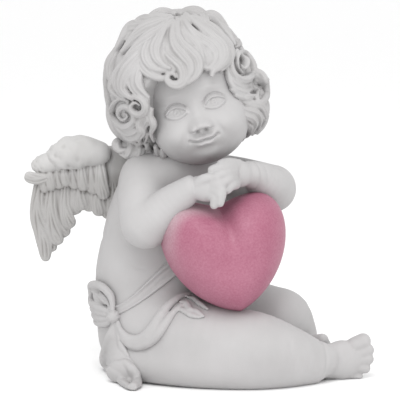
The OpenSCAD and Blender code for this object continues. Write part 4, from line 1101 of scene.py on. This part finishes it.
def webShell(side, middle, half):
    # web that carries the feathers into the back: a flat egg
    d = directions(*ballAngles(60, 30))[..., [0, 2, 1]] * np.array([1.0, 1.0, -1.0])
    return tubeShell(wingPlace(side, np.array(middle) + d * np.array(half))[:, ::-1])


def buildWing(side, name, node):
    # wing: webs, rolled edge and tip, and the feathers cast as one, darker low in the feathers,
    # with painted shade near the root
    shells = [webShell(side, *web) for web in wingWebs]
    shells += [rollShell(side, wingRoll, scale=0.34), rollShell(side, wingTip, scale=0.16)]
    shells += [featherShell(side, *f) for f in primaries + secondaries]
    shells += [featherShell(side, *f, thick=2.4, barbs=0.16) for f in coverts]
    shells.append(featherShell(side, *wingLeaf))
    casting = castTogether(shells, cell=0.2, soften=1, stain=1.0)
    root, out, face = (np.array(v) for v in wingRoots[side])
    along, above = (casting["verts"] - root) @ out, casting["verts"][:, 2] - root[2]
    shown = smooth(casting["normals"] @ face + 0.3)
    # painted shade near the root, on faces turned to the front, where the hair and the back shade the web;
    # low down the feathers are darker below the rolled edge
    low, rootShade = (share * smooth((edge - way) / fade)
                     for (share, edge, fade), way in zip(wingShadeAndDarkening.values(), (above, along)))
    shadeAndDarkening = low + rootShade * shown
    casting["tintAndPaintedLight"] = np.clip(casting["tintAndPaintedLight"] + shadeAndDarkening, 0.0, 1.0)
    makePiece(name, casting, node, "wing_resin")


buildWing("right", "rightWingCasting", "right_wing")
buildWing("left", "leftWingCasting", "left_wing")


clothSet = {"sashWide": 5.6, "sashThick": 1.5, "knot": 2.3, "knotAt": (116, 317),
            "knotLift": 0.8, "knotFolds": 8.0, "knotPinch": 0.09, "sashRoll": 1.25, "sashFold": 0.3,
            "floorGap": 0.4, "sole": 0.3}
# sash: degrees round the trunk from its right side by way of the front, and height
sashHeights = [(13, 21.0), (30, 25.0), (45, 30.0), (60, 35.5), (90, 42.0), (180, 36.0), (270, 27.0),
               (340, 21.6), (373, 21.0)]


def castCloth(name, node, shells, cell, soften, stain):
    # shells of cloth cast together as one piece
    makePiece(name, castTogether(shells, cell, soften, stain), node, "cloth_resin")


def onTorso(u, a, out):
    # skin of the trunk at a height and an angle in degrees from its right side round to its front
    f, w, d = (np.interp(u, torsoTable[:, 1], torsoTable[:, k])[..., None] for k in (0, 2, 3))
    c, s, out = np.cos(np.radians(a))[..., None], np.sin(np.radians(a))[..., None], out[..., None]
    return seatAt + (f + (d + out) * s) * forward + (w + out) * c * rightward + u[..., None] * upward


def buildSash(cfg, heights):
    # sash: a flat band with two rolled edges and a middle fold, carried round the trunk as a closed hoop
    count, sides, ease = 260, 40, 12
    knots = np.array(heights, float)
    first, last = knots[0, 0], knots[-1, 0]
    a = np.linspace(first, last, count, endpoint=False)
    u = np.interp(a, knots[:, 0], knots[:, 1])
    window = np.ones(2 * ease + 1) / (2 * ease + 1)
    u = np.convolve(np.concatenate([u[-ease:], u, u[:ease]]), window, "valid")[:, None]
    x, y = np.cos(ringAngles(sides)), np.sin(ringAngles(sides))
    rolls = hill(x - 0.74, 0.24) + hill(x + 0.74, 0.24)
    ridge = 0.55 + cfg["sashRoll"] * rolls + cfg["sashFold"] * hill(x - 0.05, 0.16)
    high = np.where(y > 0, cfg["sashThick"] * 0.6 * np.abs(y) ** 0.6 * ridge, 1.2 * y)
    a = a[:, None] + np.zeros(sides)
    wide = cfg["sashWide"] * (0.34 + 0.36 * smooth((a - first) / 50.0) * smooth((last - a) / 50.0))
    u = u + wide * x * 0.9
    bare = (onTorso(u, a, np.zeros_like(u)) - gridLow) / fleshGrid["step"]
    bury = np.maximum(-sampled(fleshField, bare.reshape(-1, 3)).reshape(u.shape), 0.0)  # flesh over the trunk
    band = [hoopShell(onTorso(u, a, high + bury))]
    castCloth("sashCasting", "waist_sash", band, cell=0.26, soften=1, stain=0.4)


def overFloor(p, low):
    # a point that would sink under the floor slides along the camera's line to a height above it
    near = np.minimum(1.0, (eyeAt[2] - low) / (eyeAt[2] - p[..., 2:3]))
    return eyeAt + (p - eyeAt) * near


rollShape = {"count": 70, "sides": 40, "ease": 6, "thinOver": 0.35, "floorShare": 0.6}


def clothRoll(rows, radius, lift, flat, ends=(0.5, 0.5), cfg=rollShape):
    # roll of cloth drawn through places of the picture and laid on the flesh, thinner at its ends
    count, a = cfg["count"], ringAngles(cfg["sides"])
    line = curveThrough(rows, count)
    p, out = onSkin(line[:, 0], line[:, 1], lift)
    p = overFloor(p, clothSet["floorGap"] + cfg["floorShare"] * radius)
    p, out = easedPath(p, out, cfg["ease"])
    side, out = pathFrame(p, out)
    t = np.linspace(0.0, 1.0, count)
    thin = [end + (1.0 - end) * smooth(way / cfg["thinOver"]) for end, way in zip(ends, (t, 1.0 - t))]
    r = radius * np.minimum(*thin)[:, None]
    return carried(p, side, out, r * np.cos(a), flat * r * np.sin(a))


def clothPad(at, radii, lean, thick, lift):
    # soft pad of cloth lying on the flesh at a place of the picture: a flat egg
    p, out = onSkin(*at, lift)
    p = overFloor(p, clothSet["floorGap"] + thick)
    out = unit(out[0] + 0.3 * toViewer)
    side = unit(np.cross(upward, out))
    up = np.cross(out, side)
    c, s = math.cos(math.radians(lean)), math.sin(math.radians(lean))
    d = directions(*ballAngles(48, 26))
    x, y = d[..., 0:1] * radii[0], d[..., 2:3] * radii[1]
    pad = p[0] + (x * c - y * s) * side + (x * s + y * c) * up - d[..., 1:2] * thick * out
    return tubeShell(pad[:, ::-1])


# rolls: places of the picture, radius and lift off the flesh in mm;
# pads: place of the picture, radii, lean, thickness and lift
swagRolls = [
    ([(119, 321), (122, 330), (127, 336), (134, 340), (142, 339), (150, 333), (157, 323), (164, 313),
      (172, 304), (181, 298), (190, 296)], 1.75, 0.5),
    ([(118, 323), (120, 333), (126, 340), (134, 345), (143, 345), (153, 340), (161, 331), (168, 321),
      (175, 312), (183, 306)], 1.8, 0.3),
    ([(121, 327), (126, 337), (137, 343), (148, 339), (156, 330), (163, 319)], 1.5, 0.7),
    ([(180, 303), (187, 305), (190, 311), (197, 313), (205, 318)], 1.2, 0.3),
    ([(178, 309), (185, 312), (192, 316), (201, 318)], 1.1, 0.2),
    ([(187, 298), (195, 301), (201, 306), (209, 311)], 1.0, 0.3),
]


def buildSwag(rolls):
    # lap roll: rolls side by side from the knot down and up over the thigh, with a ruffled end
    shells = [clothRoll(*roll, flat=0.85) for roll in rolls]
    castCloth("lapRollCasting", "lap_swag", shells, cell=0.26, soften=2, stain=0.35)


bowRolls = [
    ([(116, 312), (116, 303), (113, 294), (107, 287), (99, 284), (92, 287), (88, 293), (88, 298)],
     1.35, 1.3),
    ([(114, 313), (105, 308), (96, 303), (90, 298), (88, 293)], 1.4, 1.2),
    ([(109, 304), (104, 297), (98, 291), (94, 290)], 0.9, 0.9),
    ([(113, 309), (109, 299), (103, 292)], 0.8, 0.8),
    ([(114, 316), (104, 312), (95, 308), (89, 304)], 1.35, 0.9),
    ([(114, 319), (104, 318), (96, 315), (91, 310)], 1.25, 0.6),
    ([(115, 321), (107, 324), (99, 323), (94, 319)], 1.05, 0.4),
]
bowPads = [((102, 297), (4.0, 3.2), -38.0, 1.0, 0.5), ((101, 312), (4.6, 2.6), -20.0, 1.0, 0.3)]


def buildBow(cfg, rolls, pads):
    # bow: a knot with pinched folds, an upper loop with its hollow, and flat tails behind
    at, _ = onSkin(*cfg["knotAt"], cfg["knotLift"])
    d = directions(*ballAngles(64, 36))
    pinch = cfg["knotPinch"] * np.cos(cfg["knotFolds"] * np.arctan2(d[..., 0], d[..., 2]))
    pinch = pinch * np.hypot(d[..., 0], d[..., 2])
    shells = [tubeShell((at[0] + d * (cfg["knot"] * (1.0 + pinch))[..., None])[:, ::-1])]
    shells += [clothRoll(*roll, flat=1.0, ends=(0.6, 0.6)) for roll in rolls]
    shells += [clothPad(*pad) for pad in pads]
    castCloth("bowCasting", "sash_bow", shells, cell=0.22, soften=1, stain=0.5)


tailEdges = {"left": [(114, 321), (111, 334), (107, 347), (104, 358), (106, 367), (115, 375), (127, 385)],
             "right": [(119, 322), (121, 335), (123, 346), (130, 357), (136, 366), (139, 376), (137, 385)]}
tailRolls = [
    ([(117, 321), (114, 334), (110, 347), (107, 357), (108, 365)], 2.2, 0.6, (0.4, 0.9)),
    ([(106, 364), (113, 368), (120, 366), (127, 363), (133, 367), (134, 374), (129, 379)],
     1.4, 1.2, (0.7, 0.6)),
    ([(131, 364), (137, 372), (138, 380), (133, 385)], 1.7, 0.8, (0.7, 0.8)),
    ([(108, 369), (116, 375), (123, 381), (130, 386)], 1.3, 0.6, (0.7, 0.7)),
    ([(119, 323), (121, 336), (123, 347), (129, 357)], 1.3, 0.3, (0.5, 0.5)),
]
tailPads = [((124, 370), (4.4, 3.8), -20.0, 1.7, 1.3), ((120, 374), (4.6, 3.4), -30.0, 1.7, 1.1),
            ((131, 377), (3.4, 2.8), -40.0, 1.5, 0.2)]
tailShape = {"rows": 90, "cols": 60, "ease": 14, "thick": 0.7, "bulge": 1.5, "bulgeAt": 0.4,
             "bulgeWide": 0.34, "back": 2.0}


def buildTail(cfg, shape, edges, rolls, pads):
    # hanging tail: a sheet between its left and right edges over the hip, with rolled folds and a ruffled hem
    rows, cols = shape["rows"], shape["cols"]
    left, right = (curveThrough(edges[side], rows)[:, None] for side in ("left", "right"))
    t = np.linspace(0.0, 1.0, rows)[:, None]
    v = np.linspace(0.0, 1.0, cols)
    place = (left * (1 - v)[:, None] + right * v[:, None]).reshape(-1, 2)
    p, out = onSkin(place[:, 0], place[:, 1])
    p, out = overFloor(p, cfg["floorGap"]).reshape(rows, cols, 3), out.reshape(rows, cols, 3)
    for _ in range(shape["ease"]):
        for grid in (p, out):
            grid[1:-1, 1:-1] = 0.25 * (grid[:-2, 1:-1] + grid[2:, 1:-1] + grid[1:-1, :-2] + grid[1:-1, 2:])
        out[1:-1, 1:-1] = unit(out[1:-1, 1:-1])
    edge = np.sqrt(np.clip(1.0 - (2 * v - 1) ** 4, 0.0, 1.0))
    bulge = shape["bulge"] * hill(v - shape["bulgeAt"], shape["bulgeWide"]) * smooth(t / 0.2)
    face = p + out * ((shape["thick"] + bulge) * edge)[..., None]
    shells = [tubeShell(np.concatenate([face, (p - out * shape["back"])[:, ::-1]], axis=1))]
    shells += [clothRoll(*roll, flat=0.9, ends=ends) for *roll, ends in rolls]
    shells += [clothPad(*pad) for pad in pads]
    for shell in shells:
        shell["verts"][:, 2] = np.maximum(shell["verts"][:, 2], cfg["sole"])
    castCloth("tailCasting", "hip_drape", shells, cell=0.26, soften=2, stain=0.35)


buildSash(clothSet, sashHeights)
buildBow(clothSet, bowRolls, bowPads)
buildSwag(swagRolls)
buildTail(clothSet, tailShape, tailEdges, tailRolls, tailPads)


# lights: place and aim in metres, size and power; the key is high in front, the weak fill to the right
lightSet = {"key": ((-0.08, -0.5, 0.66), (0.0, 0.0, 0.06), 0.45, 2.8),
            "fill": ((0.42, -0.6, 0.2), (0.0, 0.0, 0.05), 0.5, 0.9)}
floorLook = {"dark": (0.93,) * 3, "light": (0.95,) * 3, "grainScale": 40.0, "roughness": 0.9}
studioSet = {"world": 1.05, "floorHalf": 40.0, "floorFront": -3.0, "floorBack": 80.0}


def areaLight(name, at, aim, size, power):
    # square soft light at a place, turned to face its aim
    lamp = bpy.data.objects.new(name, bpy.data.lights.new(name, "AREA"))
    lamp.data.size = size
    lamp.data.energy = power
    lamp.location = at
    d = np.asarray(aim, float) - np.asarray(at, float)
    lamp.rotation_euler = (math.atan2(math.hypot(d[0], d[1]), -d[2]), 0.0, math.atan2(d[0], -d[1]) + math.pi)
    bpy.context.scene.collection.objects.link(lamp)


def buildStudio(cfg, lights):
    # white surroundings, the lights and a pale floor that runs far back
    world = bpy.data.worlds.new("studio")
    bpy.context.scene.world = world
    world.use_nodes = True
    setSockets(world.node_tree.nodes["Background"], {"Color": (1.0, 1.0, 1.0, 1.0), "Strength": cfg["world"]})
    for name, light in lights.items():
        areaLight(name, *light)
    mesh = bpy.data.meshes.new("floor")
    half, front, back = cfg["floorHalf"], cfg["floorFront"], cfg["floorBack"]
    corners = [(-half, front, 0), (half, front, 0), (half, back, 0), (-half, back, 0)]
    mesh.from_pydata(corners, [], [(0, 1, 2, 3)])
    mesh.materials.append(toneMaterial("pale floor", floorLook))
    floor = bpy.data.objects.new("floor", mesh)
    bpy.context.scene.collection.objects.link(floor)
    bpy.context.scene.view_settings.view_transform = "Standard"


def placeCamera(cfg):
    # the camera stands back along -Y, lifted by its elevation; its lens gives pxPerMm at the target
    cam = bpy.data.objects.new("camera", bpy.data.cameras.new("camera"))
    cam.location = eyeAt * mm
    cam.rotation_euler = (math.radians(90) - viewLean, 0.0, 0.0)
    cam.data.sensor_width = cfg["sensor"]
    cam.data.lens = cfg["sensor"] * pxAtUnit / cfg["picture"]
    cam.data.clip_start = cfg["clip"]
    bpy.context.scene.collection.objects.link(cam)
    bpy.context.scene.camera = cam


buildStudio(studioSet, lightSet)
placeCamera(cameraSet)
